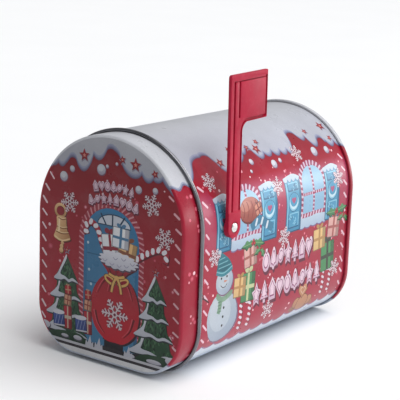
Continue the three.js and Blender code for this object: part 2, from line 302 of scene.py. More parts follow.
def star_shape(x, z, radius, tilt=0, waist=0.45):
    """A five-pointed star. waist is how far in its inner corners lie."""
    points = 5
    angles = np.radians(np.arange(2 * points) * 180 / points + 90 + tilt)
    reach = radius * np.where(np.arange(2 * points) % 2 == 0, 1, waist)
    return np.column_stack([x + reach * np.cos(angles), z + reach * np.sin(angles)])


def heart_shape(x, z, size):
    t = np.linspace(0, 2 * math.pi, 24, endpoint=False)
    across = 16 * np.sin(t) ** 3
    up = 13 * np.cos(t) - 5 * np.cos(2 * t) - 2 * np.cos(3 * t) - np.cos(4 * t)
    return np.column_stack([x + across * size / 32, z + up * size / 32])


def cloud(x, z, half_x, half_z, lobes, tilt, seed):
    """A fluffy round shape with lobes round its edge."""
    depth = 0.12
    angles = np.linspace(0, 2 * math.pi, lobes * 7, endpoint=False)
    phase = random.Random(seed).uniform(0, math.pi)
    swell = 1 - depth + depth * np.abs(np.sin(lobes * angles / 2 + phase)) * 1.6
    points = np.column_stack([half_x * np.cos(angles) * swell, half_z * np.sin(angles) * swell])
    return turned(points, tilt) + (x, z)


def lobed_line(start, lobes, lift=0.0):
    """A line of hanging lobes: each goes on to an x, z point and hangs down by a depth."""
    path = [start]
    for x, z, depth in lobes:
        x0, z0 = path[-1]
        steps = 9 if depth > 1.5 else 5
        for step in range(1, steps + 1):
            t = step / steps
            path.append((x0 + (x - x0) * t, z0 + (z - z0) * t - depth * math.sin(math.pi * t) ** 0.75))
        path[-1] = (x, z)
    return np.array(path) + (0, lift)


# ---------------------------------------------------------------- inks

SNOW = (191, 192, 198)
SNOW_LOW = (177, 179, 192)
SNOW_SHADE = (112, 112, 140)
RED = (162, 22, 46)
RED_TOP = (128, 14, 30)
SPECK_INKS = [(218, 112, 130), (232, 158, 172), (242, 200, 208), (208, 92, 112)]
PLUM = (96, 22, 50)
FLAKE = (226, 208, 214)
FLAKE_EDGE = (116, 52, 74)
TEAL_DARK = (36, 96, 132)
TEAL_LIGHT = (134, 192, 216)
PINE = (38, 74, 52)
PINE_DARK = (20, 46, 34)
PINE_LIGHT = (72, 112, 78)
TAN = (206, 166, 112)
INK_BLACK = (26, 24, 28)


def toned(ink, share):
    """A darker or lighter tone of an ink."""
    return tuple(min(255, int(value * share)) for value in ink)


def linear(ink):
    """An ink's screen values from 0 to 255 as linear light."""
    values = np.asarray(ink, float) / 255
    return np.where(values <= 0.04045, values / 12.92, ((values + 0.055) / 1.055) ** 2.4)


class Art:
    """A flat drawing of shapes laid over each other. The first shape is the sheet itself."""

    def __init__(self, sheet, ink, fade=None, strength=1.0):
        self.strength = strength  # how much light all inks give back
        self.layers = []
        self.guides = []
        self.add(sheet, ink, fade)

    def add(self, shape, ink, fade=None, towards=90):
        """Lays a shape on top. Its ink fades to another in the direction towards, in degrees."""
        shape = np.asarray(shape, float)
        x, z = shape[:, 0], shape[:, 1]
        area = np.sum(x * np.roll(z, -1) - z * np.roll(x, -1))
        self.layers.append((shape if area > 0 else shape[::-1], ink, fade, towards))

    def add_raised(self, shape, shift, shadow, ink, fade=None, towards=90):
        """Lays a shape on top with its shadow shifted to one side."""
        self.add(shape + np.asarray(shift), shadow)
        self.add(shape, ink, fade, towards)

    def cut(self, shape):
        """Cuts a hole."""
        self.add(shape, None)

    def guide(self, start, end):
        """Makes the sheet's mesh follow a line, where the tin bends."""
        self.guides.append((start, end))

    def follow(self, closed_path):
        """Makes the sheet's mesh follow a closed path."""
        for here, following in zip(closed_path, np.roll(closed_path, -1, axis=0)):
            self.guide(tuple(here), tuple(following))

    def triangles(self):
        """Points, triangles and one ink for each triangle's corner."""
        points, edges, faces = [], [], []
        for shape, _, _, _ in self.layers:
            faces.append(list(range(len(points), len(points) + len(shape))))
            points.extend(Vector(p) for p in shape)
        for start, end in self.guides:
            edges.append((len(points), len(points) + 1))
            points.extend((Vector(start), Vector(end)))
        flat, _, found, _, _, owners = delaunay_2d_cdt(points, edges, faces, 1, 1e-4, True)
        kept, tops = [], []
        for corners, layers in zip(found, owners):
            top = max(layers) if layers else -1
            if 0 in layers and self.layers[top][1] is not None:
                kept.append(corners)
                tops.append(top)
        kept, tops = np.array(kept), np.array(tops)
        used = np.unique(kept)
        place_of = np.zeros(len(flat), int)
        place_of[used] = np.arange(len(used))
        flat = np.array([flat[i] for i in used])
        kept = place_of[kept]
        inks = np.ones((len(kept), 3, 4))
        for top in np.unique(tops):
            shape, ink, fade, towards = self.layers[top]
            mine = tops == top
            colour = linear(ink)
            inks[mine, :, :3] = colour
            if fade is not None:
                way = np.array([math.cos(math.radians(towards)), math.sin(math.radians(towards))])
                reach = shape @ way
                share = (flat[kept[mine]] @ way - reach.min()) / (reach.max() - reach.min())
                share = np.clip(share, 0, 1)[..., None]
                inks[mine, :, :3] = colour + share * (linear(fade) - colour)
        inks[:, :, :3] *= self.strength
        return flat, kept, inks


# ---------------------------------------------------------------- motifs


def draw_all(draw, art, spots):
    """Draws one motif at many spots. Each spot gives the motif's own numbers and inks."""
    for spot in spots:
        draw(art, *spot)


def draw_bands(art, left, right, bands):
    """Level bands of ink. Each goes from one height to another and fades upwards."""
    for low, high, ink, fade in bands:
        art.add(box(left, low, right, high), ink, fade)


def draw_snowflake(art, x, z, radius, tilt=0):
    """A feathery snowflake with a ring at its middle, in a dark outline."""
    for extra, ink in ((0.8, FLAKE_EDGE), (0, FLAKE)):
        for arm in range(6):
            turn = tilt + 60 * arm
            strokes = [((0.16, 0), (1, 0))]
            for root, reach in ((0.36, 0.24), (0.6, 0.26), (0.84, 0.14)):
                strokes += [((root, 0), (root + reach * 0.6, side * reach)) for side in (-1, 1)]
            for start, end in strokes:
                ends = turned(np.array([start, end]) * radius, turn) + (x, z)
                art.add(bar(*ends[0], *ends[1], radius * 0.085 + extra), ink)
        art.add(circle(x, z, radius * 0.2 + extra / 2, 12), ink)
    art.add(circle(x, z, radius * 0.1, 8), FLAKE_EDGE)


def draw_star(art, x, z, radius, tilt=0):
    """A dark red star with a small pale one at its middle, in a soft shadow."""
    art.add(star_shape(x + 0.35, z - 0.5, radius * 1.12, tilt), (140, 136, 156))
    art.add(star_shape(x, z, radius, tilt), (128, 12, 28), (160, 30, 40))
    art.add(star_shape(x, z, radius * 0.34, tilt), (222, 140, 128))


def draw_snowball(art, x, z, radius):
    art.add(circle(x + 0.15, z - 0.25, radius * 1.12), (120, 80, 104))
    art.add(circle(x, z, radius), (164, 156, 176), (206, 208, 216))
    art.add(ellipse(x - radius * 0.15, z + radius * 0.2, radius * 0.62, radius * 0.55), (208, 208, 216))


def draw_specks(art, region, count, seed, radius=(0.35, 0.95)):
    """Small out-of-focus snow specks over the red ground."""
    chance = random.Random(seed)
    left, bottom, right, top = region
    for _ in range(count):
        size = chance.uniform(*radius)
        x, z = chance.uniform(left, right), chance.uniform(bottom, top)
        if chance.random() < 0.3:
            art.add(circle(x, z, size * 1.8, 12), (182, 62, 82))
        art.add(circle(x, z, size, 10), chance.choice(SPECK_INKS))


def draw_candy_dashes(art, x, bottom, top, width, pitch, drop, ink, seed, thick=(1.1, 1.4), bend=0.0):
    """A column of short slanting candy-cane dashes, bent sideways near its top."""
    chance = random.Random(seed)
    for z in np.arange(bottom, top, pitch):
        z += chance.uniform(-0.4, 0.4)
        left = x + bend * max(0.0, (z - 84) / 20) ** 2
        reach = width * chance.uniform(0.8, 1.0)
        low = z - drop * chance.uniform(0.85, 1.15)
        stroke = chance.uniform(*thick)
        art.add(bar(left, z, left + reach, low, stroke + 0.5), (178, 66, 88))
        art.add(bar(left, z, left + reach, low, stroke), ink)


def draw_snow_cap(art, start, lobes, top):
    """Snow lying from a lobed edge up to a height, with a soft shade along the edge."""
    bands = ((-0.4, (104, 60, 92)), (0, SNOW_SHADE), (0.8, (138, 140, 170)), (1.6, (158, 162, 186)),
             (2.5, SNOW_LOW))
    for lift, ink in bands:
        edge = lobed_line(start, lobes, lift)
        shape = np.concatenate([edge, [(edge[-1][0], top), (edge[0][0], top)]])
        art.add(shape, ink, SNOW if lift == 2.5 else None)


def draw_shutter(art, left, bottom, right, top):
    """A teal shutter with carved panels, a round ornament and snow on its top."""
    chance = random.Random(1)
    width, middle = right - left, (left + right) / 2
    centre = bottom + (top - bottom) * 0.54
    art.add(box(left - 0.7, bottom - 0.8, right + 0.7, top, 1.2), (30, 76, 108))
    art.add(box(left, bottom, right, top, 1), (62, 134, 170), (92, 164, 196))
    art.add(box(left + 0.5, bottom + 0.5, left + 1.5, top - 3), TEAL_LIGHT)
    art.add(box(right - 1.3, bottom + 0.5, right - 0.4, top - 3), TEAL_DARK)
    for low, high in ((bottom + 1.6, centre - width * 0.42), (centre + width * 0.42, top - 3)):
        art.add(box(left + 2.0, low, right - 1.8, high, 0.8), TEAL_DARK)
        art.add(box(left + 2.7, low + 0.9, right - 2.0, high, 0.8), TEAL_LIGHT)
        art.add(box(left + 2.7, low + 0.9, right - 2.7, high - 0.7, 0.8), (74, 146, 182))
        for _ in range(9):
            x, z = chance.uniform(left + 3, right - 3.4), chance.uniform(low + 1.4, high - 1.4)
            curl = curve([(x - 1.3, z), (x, z + 0.8), (x + 1.1, z - 0.3)], 3)
            art.add(ribbon(turned(curl, chance.uniform(0, 360), (x, z)), 0.6),
                    chance.choice([TEAL_DARK, TEAL_LIGHT, (44, 108, 146)]))
    art.add(circle(middle, centre, width * 0.38), TEAL_DARK)
    art.add(circle(middle, centre, width * 0.35), TEAL_LIGHT)
    art.add(circle(middle, centre + 0.2, width * 0.3), (196, 222, 234))
    art.add(circle(middle, centre + width * 0.09, width * 0.27), (82, 154, 190))
    art.add(heart_shape(middle, centre + 1.0, width * 0.3), (176, 86, 124))
    level = top - 0.8
    lobes = [(left + width * share, level, 1.7) for share in (0.24, 0.5, 0.78, 1.07)]
    edge = lobed_line((left - 1, level), lobes)
    crest = curve([(right + 1, level + 0.4), (middle + 2, level + 2.6), (left - 1, level + 1.0)], 5)
    art.add(np.concatenate([edge + (0, -0.6), crest]), (104, 132, 166))
    art.add(np.concatenate([edge, crest]), (178, 198, 216), (208, 218, 230))


def arch_path(left, right, bottom, top, steps=16, rise=None):
    """An arched outline from the bottom left over the top to the bottom right."""
    half = (right - left) / 2
    rise = min(rise or half, top - bottom)
    angles = np.linspace(math.pi, 0, steps + 1)
    arch_x, arch_z = (left + right) / 2 + half * np.cos(angles), top - rise + rise * np.sin(angles)
    return np.concatenate([[(left, bottom)], np.column_stack([arch_x, arch_z]), [(right, bottom)]])


def draw_candy_frame(art, path, width, pitch=2.9, ink=(214, 190, 208), ground=(158, 66, 98), lean=0.5,
                     thick=None):
    """A candy-striped band along a path. Its stripes slant by lean."""
    art.add(ribbon(path, width), ground)
    steps = np.linalg.norm(np.diff(path, axis=0), axis=1)
    length = np.concatenate([[0], np.cumsum(steps)])
    for start in np.arange(0.7, length[-1] - 0.5, pitch):
        here = np.array([np.interp(start, length, path[:, k]) for k in (0, 1)])
        ahead = np.array([np.interp(start + 0.4, length, path[:, k]) for k in (0, 1)])
        along = (ahead - here) / max(np.linalg.norm(ahead - here), 1e-6)
        across = np.array([-along[1], along[0]])
        start_point = here - across * width * 0.5 - along * lean
        end_point = here + across * width * 0.5 + along * lean
        art.add(bar(*start_point, *end_point, thick or pitch * 0.46), ink)


def draw_window(art, left, bottom, right, top, sill):
    """An arched window with pale panes, a candy-striped frame, bars and a snowy sill."""
    rise = (right - left) * 0.42
    art.add(arch_path(left - 2.6, right + 2.6, bottom, top + 2.6, 20, rise + 2), (150, 66, 100))
    art.add(arch_path(left, right, bottom, top, 20, rise), (134, 176, 206), (164, 200, 224))
    middle, crossing = (left + right) / 2, bottom + (top - bottom) * 0.46
    draw_candy_frame(art, np.array([(left, crossing), (right, crossing)]), 1.7, 2.4, lean=0.2)
    draw_candy_frame(art, np.array([(middle, bottom), (middle, top)]), 1.9, 2.4, lean=0.2)
    draw_candy_frame(art, arch_path(left - 1.2, right + 1.2, bottom, top + 1.2, 24, rise + 1), 3.3, 3.2)
    draw_candy_frame(art, np.array([(left - 1, bottom + 1.6), (right + 1, bottom + 1.6)]), 2.6, 3.2)
    width = right - left
    lobes = [(left - 3 + (width + 6) * share, sill, 0.9) for share in (0.2, 0.42, 0.66, 0.86, 1.0)]
    base = lobed_line((left - 3, sill), lobes)
    crest = [(right + 3, bottom - 0.2), (middle + 4, bottom + 0.8), (middle - 5, bottom + 0.1),
             (left - 3, bottom + 0.6)]
    snow_top = curve(crest, 5)
    art.add(np.concatenate([base + (0, -0.8), snow_top]), (120, 96, 136))
    art.add(np.concatenate([base, snow_top]), (166, 184, 206), (186, 202, 218))


def draw_snowman(art):
    """A plain snowman with a hat and a scarf."""
    art.add(ellipse(22.8, 30.2, 14.8, 15), (120, 84, 112))
    art.add(ellipse(22, 31, 14.2, 14.6), (146, 160, 178), (178, 187, 196), 120)
    art.add(ellipse(20, 33.5, 10, 10.4), (174, 185, 196), (187, 194, 202), 120)
    art.add(ellipse(23.4, 50.4, 8.3, 7.9), (120, 84, 112))
    art.add(ellipse(23, 51, 7.9, 7.6), (151, 164, 181), (181, 190, 200), 120)
    art.add(ellipse(22, 52, 5.6, 5.2), (180, 189, 198))
    for x, z in ((20, 53), (25.2, 53.3)):
        art.add(circle(x, z, 0.7, 10), INK_BLACK)
    mouth = curve([(19.6, 49.2), (21.6, 47.6), (24, 47.8), (25.6, 49.4)])
    art.add(ribbon(mouth, 0.5), (70, 66, 78))
    art.add([(22.6, 51.6), (26, 50.8), (22.8, 50.2)], (196, 116, 88))
    for x, z in ((23.2, 36), (22.6, 31), (22.2, 26)):
        art.add(circle(x, z, 0.8, 10), INK_BLACK)
    scarf = [(16.6, 45.4), (22, 42.4), (30.4, 44.8), (30.2, 41.8), (22, 39.4), (16.2, 42)]
    art.add(smooth(scarf, 5), (132, 160, 138), (104, 138, 114))
    tail = curve([(20, 42), (19.4, 37), (18, 33.6)])
    art.add(ribbon(tail, 3.6, 3), (118, 150, 126))
    for z in (34.6, 36.4, 38.2, 40):
        art.add(bar(17.4, z, 20.8, z, 0.5), (84, 116, 96))
    hat = [(15.6, 56.4), (15.8, 61), (17.2, 66.6), (19.6, 67.4), (23, 65.4), (27, 62.4), (29.6, 57.6),
           (22, 55.6)]
    art.add(smooth(hat, 5), (28, 84, 98), (48, 122, 136))
    for z in (59.6, 62, 64.4):
        art.add(bar(16.8, z - 0.6, 28.6 - (z - 59.6) * 1.2, z, 0.6), (112, 168, 178))
    art.add(ribbon(curve([(15.2, 57.2), (22, 55.2), (30, 57.6)], 5), 2.8), (50, 124, 138))
    art.add(ribbon(curve([(15.2, 57.6), (22, 55.8), (30, 58.2)], 5), 0.6), (126, 180, 188))
    art.add(circle(17.6, 67.8, 1.5, 12), (188, 200, 208))
    twig = (70, 20, 30)
    art.add(ribbon(curve([(9, 42), (4.5, 45), (1.5, 46)]), 0.9), twig)
    art.add(ribbon([(4.5, 45), (2.5, 48.6)], 0.7), twig)


def draw_gift(art, left, bottom, right, top, ink, band, tilt=0):
    """A wrapped present with a ribbon and a bow."""
    centre = ((left + right) / 2, (bottom + top) / 2)
    width, height = right - left, top - bottom
    art.add(box(left - 0.5, bottom - 0.5, right + 0.5, top + 0.3, 0.6, tilt), toned(ink, 0.62))
    art.add(box(left, bottom, right, top, 0.4, tilt), ink, toned(ink, 1.12), 60)
    shaded_side = box(right - width * 0.24, bottom, right, top)
    upright_band = box(centre[0] - width * 0.08, bottom, centre[0] + width * 0.08, top)
    level_band = box(left, centre[1] - height * 0.07, right, centre[1] + height * 0.07)
    for shape, shape_ink in ((shaded_side, toned(ink, 0.82)), (upright_band, band), (level_band, band)):
        art.add(turned(shape, tilt, centre), shape_ink)
    x, z = turned([(centre[0], top + height * 0.05)], tilt, centre)[0]
    for side in (-1, 1):
        loop_x = x + side * width * 0.15
        art.add(ellipse(loop_x, z + height * 0.08, width * 0.16, height * 0.1, side * 28 + tilt, 14), band)
    art.add(circle(x, z, width * 0.07, 10), toned(band, 0.8))


def draw_tree(art, x, base, top, halves, seed=3):
    """A snowy fir tree, its tiers as wide as halves tells, from the bottom up."""
    chance = random.Random(seed)
    step = (top - base) / (len(halves) + 0.35)
    art.add(box(x - 2, base - 3, x + 2, base + 4), (48, 36, 30))
    for tier, half in enumerate(halves):
        low = base + tier * step
        is_top = tier == len(halves) - 1
        high = top if is_top else low + step * 1.25
        crown = 0.02 if is_top else 0.5
        body = smooth([(x - half * crown, high), (x + half * crown, high),
                       (x + half * 0.72, low + step * 0.45), (x + half, low), (x + half * 0.3, low - 0.6),
                       (x - half * 0.4, low - 0.4), (x - half, low), (x - half * 0.7, low + step * 0.45)],
                      4)
        art.add_raised(body, (0.8, -0.9), (40, 14, 20), PINE, (50, 88, 60))
        for _ in range(int(half * step * 0.34)):
            up = chance.uniform(0.1, 0.9)
            spread = chance.uniform(-0.8, 0.8) * (1 - up * (1 - crown) * 0.9)
            tilt = chance.choice([60, 75, 105, 120]) + chance.uniform(-12, 12)
            ink = chance.choice([PINE_LIGHT, PINE_LIGHT, PINE_DARK, PINE_DARK, (60, 104, 68)])
            art.add(ellipse(x + half * spread, low + up * step, 1.15, 0.45, tilt, 8), ink)
        flank = [(x - half - 1.4, low - 0.9), (x - half * 0.82, low + step * 0.24),
                 (x - half * 0.56, low + step * 0.6), (x - half * max(crown, 0.04), high)]
        inner = [(x - half * max(crown - 0.12, 0.0), high - step * 0.24),
                 (x - half * 0.5, low + step * 0.42), (x - half * 0.52, low + step * 0.2),
                 (x - half * 0.1, low + step * 0.13), (x + half * 0.25, low),
                 (x + half * 0.62, low + step * 0.13)]
        under = [(x + half + 1.2, low - 0.9), (x + half * 0.6, low - step * 0.04),
                 (x + half * 0.25, low - step * 0.15), (x - half * 0.15, low - step * 0.02),
                 (x - half * 0.55, low - step * 0.12)]
        snow = smooth(flank + inner + under, 4)
        art.add_raised(snow, (0.3, -0.8), (52, 60, 66), (196, 200, 212), (228, 230, 238))


def draw_ornament_row(art, left, right, bottom, height, count, seed, bow=0.0):
    """A row of pale sweets, stars, hearts, trees, bells and baubles in plum outlines, bowed upwards."""
    kinds = ["bauble", "house", "star", "bell", "heart", "tree", "sweet"]
    middle, pitch = (left + right) / 2, (right - left) / count
    size = height / 2
    stretch = pitch * 0.5 / size
    coats = ((0.2, (0.12, -0.16), PLUM, None), (0.04, (0, 0), (200, 168, 188), (232, 208, 220)),
             (-0.26, (0, 0), (140, 72, 110), None), (-0.4, (0, 0), (226, 198, 212), None))
    for i in range(count):
        x = left + (i + 0.5) * pitch
        across = (x - middle) / (right - left) * 2
        z = bottom + size - bow * across**2
        tilt = -math.degrees(math.atan2(4 * bow * across, right - left))
        parts = ornament_parts(kinds[(i * 3 + seed) % len(kinds)])
        for grow, shift, ink, fade in coats:
            for part in parts:
                shape = (part * (stretch * (1 + grow), 1 + grow) + shift) * size
                art.add(turned(shape, tilt) + (x, z), ink, fade)


def ornament_parts(kind):
    """The outlines of a small ornament, from -1 to 1 both ways."""
    if kind == "bauble":
        return [ellipse(0, -0.12, 0.95, 0.84), box(-0.25, 0.55, 0.25, 0.98)]
    if kind == "star":
        return [star_shape(0, -0.05, 1.08, waist=0.56)]
    if kind == "sweet":
        wrapper = np.array([(0.3, 0.1), (0.95, 0.85), (0.95, -0.2)])
        return [ellipse(0, 0, 0.66, 0.66), wrapper, wrapper * (-1, -1)]
    if kind == "heart":
        return [heart_shape(0, 0, 2.0)]
    if kind == "tree":
        crown = [(-0.95, -0.6), (0.95, -0.6), (0.5, -0.1), (0.75, -0.1), (0, 1), (-0.75, -0.1), (-0.5, -0.1)]
        return [np.array(crown), box(-0.25, -0.98, 0.25, -0.5)]
    if kind == "house":
        return [np.array([(-0.78, -0.95), (0.78, -0.95), (0.78, 0.1), (0.98, 0.1), (0, 1), (-0.98, 0.1),
                          (-0.78, 0.1)])]
    bell = [(-0.92, -0.65), (-0.55, 0.3), (-0.2, 0.88), (0.2, 0.88), (0.55, 0.3), (0.92, -0.65)]
    return [smooth(bell, 3), ellipse(0, -0.75, 0.28, 0.24, 0, 10)]


# ---------------------------------------------------------------- drawings

SIDE_FRONT = NECK_STEP[1] + 0.05
SIDE_REAR = BARREL_REAR - 1.9
SIDE_LOW = -SIDE_ZERO
SIDE_TOP = HALF_LENGTH - SIDE_ZERO

# the red ground's level bands: lighter and pinker from 70 up to 98, a painted highlight where the wall
# starts to bend over, then darker towards the roof
SIDE_BANDS_AND_SHEEN = [(12, 70, (166, 42, 66), (162, 30, 54)), (70, 98, (168, 52, 80), (172, 62, 92)),
              (98, 104, (172, 62, 92), (160, 22, 46)), (104, 130, (160, 22, 46), (126, 10, 30))]
SIDE_SNOW = [(8, 116, 1.5), (12, 120.6, -0.6), (20, 122, -0.8), (27, 121.6, -1.2), (29.4, 117, 0.2),
             (45, 117, 8), (57, 118, 4), (62, 120.5, 1.4), (66, 120, -1), (76, 115.5, 5), (84, 115.5, 2.6),
             (92, 114.5, 2.8), (99, 114, 2.6), (106, 116, 4), (108.6, 124, 1.2), (116.4, 123.6, -1.6),
             (118.6, 119.6, 0.6), (124.6, 120, 2.2), (134.6, 116, 6), (140.6, 116, -1.4), (143, 113.6, 1.2),
             (151, 112.6, 3.4), (159, 113, 4)]
SIDE_GROUND = [(8, 17, 2), (20, 15.5, 2), (33, 15, 2), (44, 16, 2.4), (56, 14.8, 2), (68, 15.5, 2.6),
               (80, 14.4, 2.4), (92, 15.5, 3), (104, 14.6, 2), (118, 15.2, 2), (130, 15.6, 2.4),
               (143, 16, 3), (151, 16.6, 2.4), (159, 17, 2)]
SIDE_STARS = [
    (33, 116, 3.3, 8), (47.5, 123, 2.4, 20), (64, 121.6, 2.3, 4), (71.5, 119.4, 3.6, 14), (76, 124, 2.4, 30),
    (128.5, 123.6, 2.4, 12), (148.5, 125, 3.8, 6), (148.5, 115.4, 2.3, 25),
]
SIDE_FLAKES = [
    (15.5, 107, 5.6, 10), (76, 95, 5.4, 20), (106, 111, 5.6, 5), (82, 64.5, 6.2, 15), (13, 66, 5.4, 0),
    (68, 24, 6, 25), (142, 34, 5.8, 10), (142.5, 90, 6, 20),
]
SIDE_SNOWBALLS = [(60, 112.4, 1.8), (80, 108, 2.5), (87, 109.2, 1.4), (125, 109.4, 2.9), (138.6, 108.6, 2.3),
                  (56, 107, 1.0)]
SIDE_SHUTTERS = [(14.5, 68, 27.5, 97.5), (58, 66.5, 73, 97.5), (83.5, 66.5, 98.6, 98),
                 (127.5, 66.5, 142.5, 98)]
SIDE_CANES = [(40, 19, 37), (48.6, 19, 36), (128.6, 20, 36), (136.4, 20, 37)]
LEFT_GIFTS = [(40, 34.6, 52.6, 50.6, (70, 126, 84), (190, 196, 150), -3),
              (32.6, 39, 43.6, 49.6, (204, 168, 116), (176, 132, 80), -4),
              (41.6, 54.4, 53.4, 65.4, (206, 158, 150), (160, 92, 84), 6)]
RIGHT_GIFTS = [(125.4, 34.6, 140, 51.6, (72, 132, 84), (60, 66, 56), 3),
               (115.6, 49.6, 128.6, 62, (206, 172, 118), (176, 134, 84), 2),
               (132, 54.4, 144.6, 66.4, (206, 158, 150), (168, 92, 88), -5)]


def side_art(rivet_hole):
    """The wall from the bottom centre up to the top centre: along y, and up the wall."""
    art = Art(box(SIDE_FRONT, SIDE_LOW, SIDE_REAR, SIDE_TOP), RED, RED_TOP)
    for s in WALL_S[1:-1]:
        art.guide((SIDE_FRONT - 1, s - SIDE_ZERO), (SIDE_REAR + 1, s - SIDE_ZERO))
    # the red ground in bands, its lighter pink band a painted highlight
    draw_bands(art, 0, 160, SIDE_BANDS_AND_SHEEN)
    art.add(smooth([(12, 100), (31, 98), (27, 126), (20, 127), (12, 123)], 5), (150, 16, 40), (166, 24, 48),
            210)
    draw_specks(art, (4, 18, 153, 112), 240, 5)
    draw_candy_dashes(art, 4.0, 22, 112, 4.2, 8.4, 3.8, (228, 190, 202), 2)
    draw_candy_dashes(art, 148.4, 24, 108, 4.2, 8.0, 3.8, (228, 190, 202), 3)
    draw_snow_cap(art, (0, 108), SIDE_SNOW, SIDE_TOP + 2)
    draw_all(draw_star, art, SIDE_STARS)
    draw_all(draw_snowball, art, SIDE_SNOWBALLS)
    draw_windows(art)
    draw_snowman(art)
    draw_side_gifts(art)
    draw_ornament_row(art, 60, 114, 47.4, 13.4, 7, 0)
    draw_ornament_row(art, 51, 125, 29.4, 13.4, 9, 2)
    draw_side_ground(art)
    draw_all(draw_snowflake, art, SIDE_FLAKES)
    if rivet_hole:
        art.cut(circle(RIVET_Y, RIVET_Z, HOLE_RADIUS, 32))
    return art


def draw_windows(art):
    """Two windows between four shutters, with what hangs and lies on them."""
    draw_window(art, 31, 71.5, 56, 98.6, 67)
    draw_window(art, 101, 71.5, 125.5, 102.5, 66.5)
    draw_all(draw_shutter, art, SIDE_SHUTTERS)
    # a wrapped sweet on the left window's sill, and a striped scarf over the shutter beside it
    art.add(ellipse(45.8, 86.2, 10.2, 7.6), (104, 44, 44))
    art.add(ellipse(45.4, 86.8, 9.6, 7), (146, 70, 62), (180, 106, 92))
    art.add(ellipse(42, 89, 5, 3), (188, 120, 104))
    for x in (39, 43.2, 47.4, 51.4):
        art.add(ribbon(curve([(x, 91.4), (x + 1.4, 87), (x, 82)]), 0.6), (128, 58, 54))
    draw_gift(art, 51, 83, 57, 89, (196, 130, 110), (120, 50, 52), 20)
    art.add(ribbon(curve([(47, 76), (55, 79.6), (62, 76), (69, 72.6)], 5), 5), (62, 120, 150))
    for x, z in ((52, 78.6), (57.6, 78.4), (63, 75.4)):
        art.add(bar(x - 0.8, z - 2.3, x + 0.9, z + 2.3, 1.8), (206, 216, 226))


def draw_side_gifts(art):
    """Presents, holly and candy canes at both ends of the ornaments, and gingerbread between."""
    draw_all(draw_cane, art, SIDE_CANES)
    draw_all(draw_gift, art, LEFT_GIFTS)
    draw_all(draw_holly, art, [(50, 67.4, 6.6, -12), (58, 63, 4.4, -60)])
    draw_all(draw_gift, art, RIGHT_GIFTS)
    draw_all(draw_holly, art, [(141, 69.6, 7, 8), (150, 66, 4.4, -40)])
    # a gingerbread biscuit on a plate of crumbs
    art.add(smooth([(96, 15), (100, 19.6), (105, 20.4), (112, 20), (118, 19.6), (122, 15), (118, 12.6),
                    (108, 12)], 5), (120, 70, 44), (168, 116, 80))
    for spot, radius in (((101.4, 19.6), 3.4), ((115.6, 18.6), 3.4), ((108.4, 18), 6)):
        art.add(circle(*spot, radius + 0.5), (112, 64, 40))
        art.add(circle(*spot, radius), (168, 112, 76), (190, 136, 98))
    art.add(heart_shape(106.4, 26.8, 10.6), (112, 64, 40))
    art.add(heart_shape(106.4, 27, 9.6), (172, 116, 80), (200, 148, 108))
    art.add(heart_shape(106.4, 27.2, 5.6), (214, 188, 170))
    art.add(heart_shape(106.4, 27.2, 4.4), (184, 128, 92))


def draw_cane(art, x, bottom, top):
    """A candy cane with its hook to the right."""
    width = 3.0
    radius = width * 0.9
    angles = np.linspace(math.pi, 0, 9)
    hook = np.column_stack([x + radius + radius * np.cos(angles), top - radius + radius * np.sin(angles)])
    path = np.concatenate([[(x, bottom), (x, (bottom + top) / 2)], hook,
                           [(x + 2 * radius, top - radius * 1.6)]])
    art.add(ribbon(path + (0.4, -0.3), width + 0.6), (104, 24, 44))
    draw_candy_frame(art, path, width, 3.3, (214, 204, 214), (164, 40, 62), 0.8)


def draw_holly(art, x, z, size, tilt):
    """Two holly leaves and three berries."""
    leaf = smooth([(0, 0), (0.35, 0.3), (0.6, 0.22), (0.95, 0.42), (1.2, 0.2), (1.7, 0), (1.2, -0.2),
                   (0.95, -0.4), (0.6, -0.2), (0.35, -0.3)], 4)
    for turn in (tilt, 180 - tilt * 0.4):
        art.add(turned(leaf * size * 1.08, turn) + (x, z - 0.3), (24, 60, 40))
        art.add(turned(leaf * size, turn) + (x, z), (48, 104, 68), (92, 148, 98))
        art.add(ribbon(turned(np.array([(0.1, 0), (1.5, 0)]) * size, turn) + (x, z), 0.35), (130, 170, 120))
    for away, up in ((-0.16, -0.08), (0.16, -0.1), (0, 0.16)):
        art.add(circle(x + away * size, z + up * size, size * 0.17, 12), (120, 12, 26))
        art.add(circle(x + away * size - 0.1, z + up * size + 0.15, size * 0.11, 10), (190, 50, 56))


def draw_side_ground(art):
    """Snow along the foot of the wall, greyer towards the underside."""
    edge = lobed_line((0, 16), SIDE_GROUND)
    for lift, ink, fade in ((0, (140, 96, 130), None), (-1.0, (206, 210, 222), None),
                            (-2.6, (186, 200, 216), (204, 214, 226))):
        shape = np.concatenate([edge + (0, lift), [(159, SIDE_LOW - 2), (0, SIDE_LOW - 2)]])
        art.add(shape, ink, fade)
    draw_bands(art, 0, 160, [(SIDE_LOW - 2, 8.5, (150, 164, 186), (178, 192, 210)),
                             (SIDE_LOW - 2, 3, (120, 136, 160), (150, 164, 186))])


LID_PAINTED_SHADE = 0.62  # painted shade: every ink on the lid's face is darkened, as the face is turned away from the light
LID_SNOW = [(-42, 108, 0.6), (-36, 109, 1.4), (-30.6, 109.4, 1.8), (-28, 112.4, 0.3), (-23.4, 112.6, -1.0),
            (-11, 116.6, 7.6), (-4.2, 116.4, 2), (-1.6, 120.8, 0.3), (3.4, 121, -0.9), (6.8, 118.4, -0.3),
            (9, 113.4, 0.3), (22, 110.6, 3.8), (29.4, 109.2, 2.8), (35.6, 109.6, 1.4), (40, 105.4, 0.4),
            (48, 103, 2)]


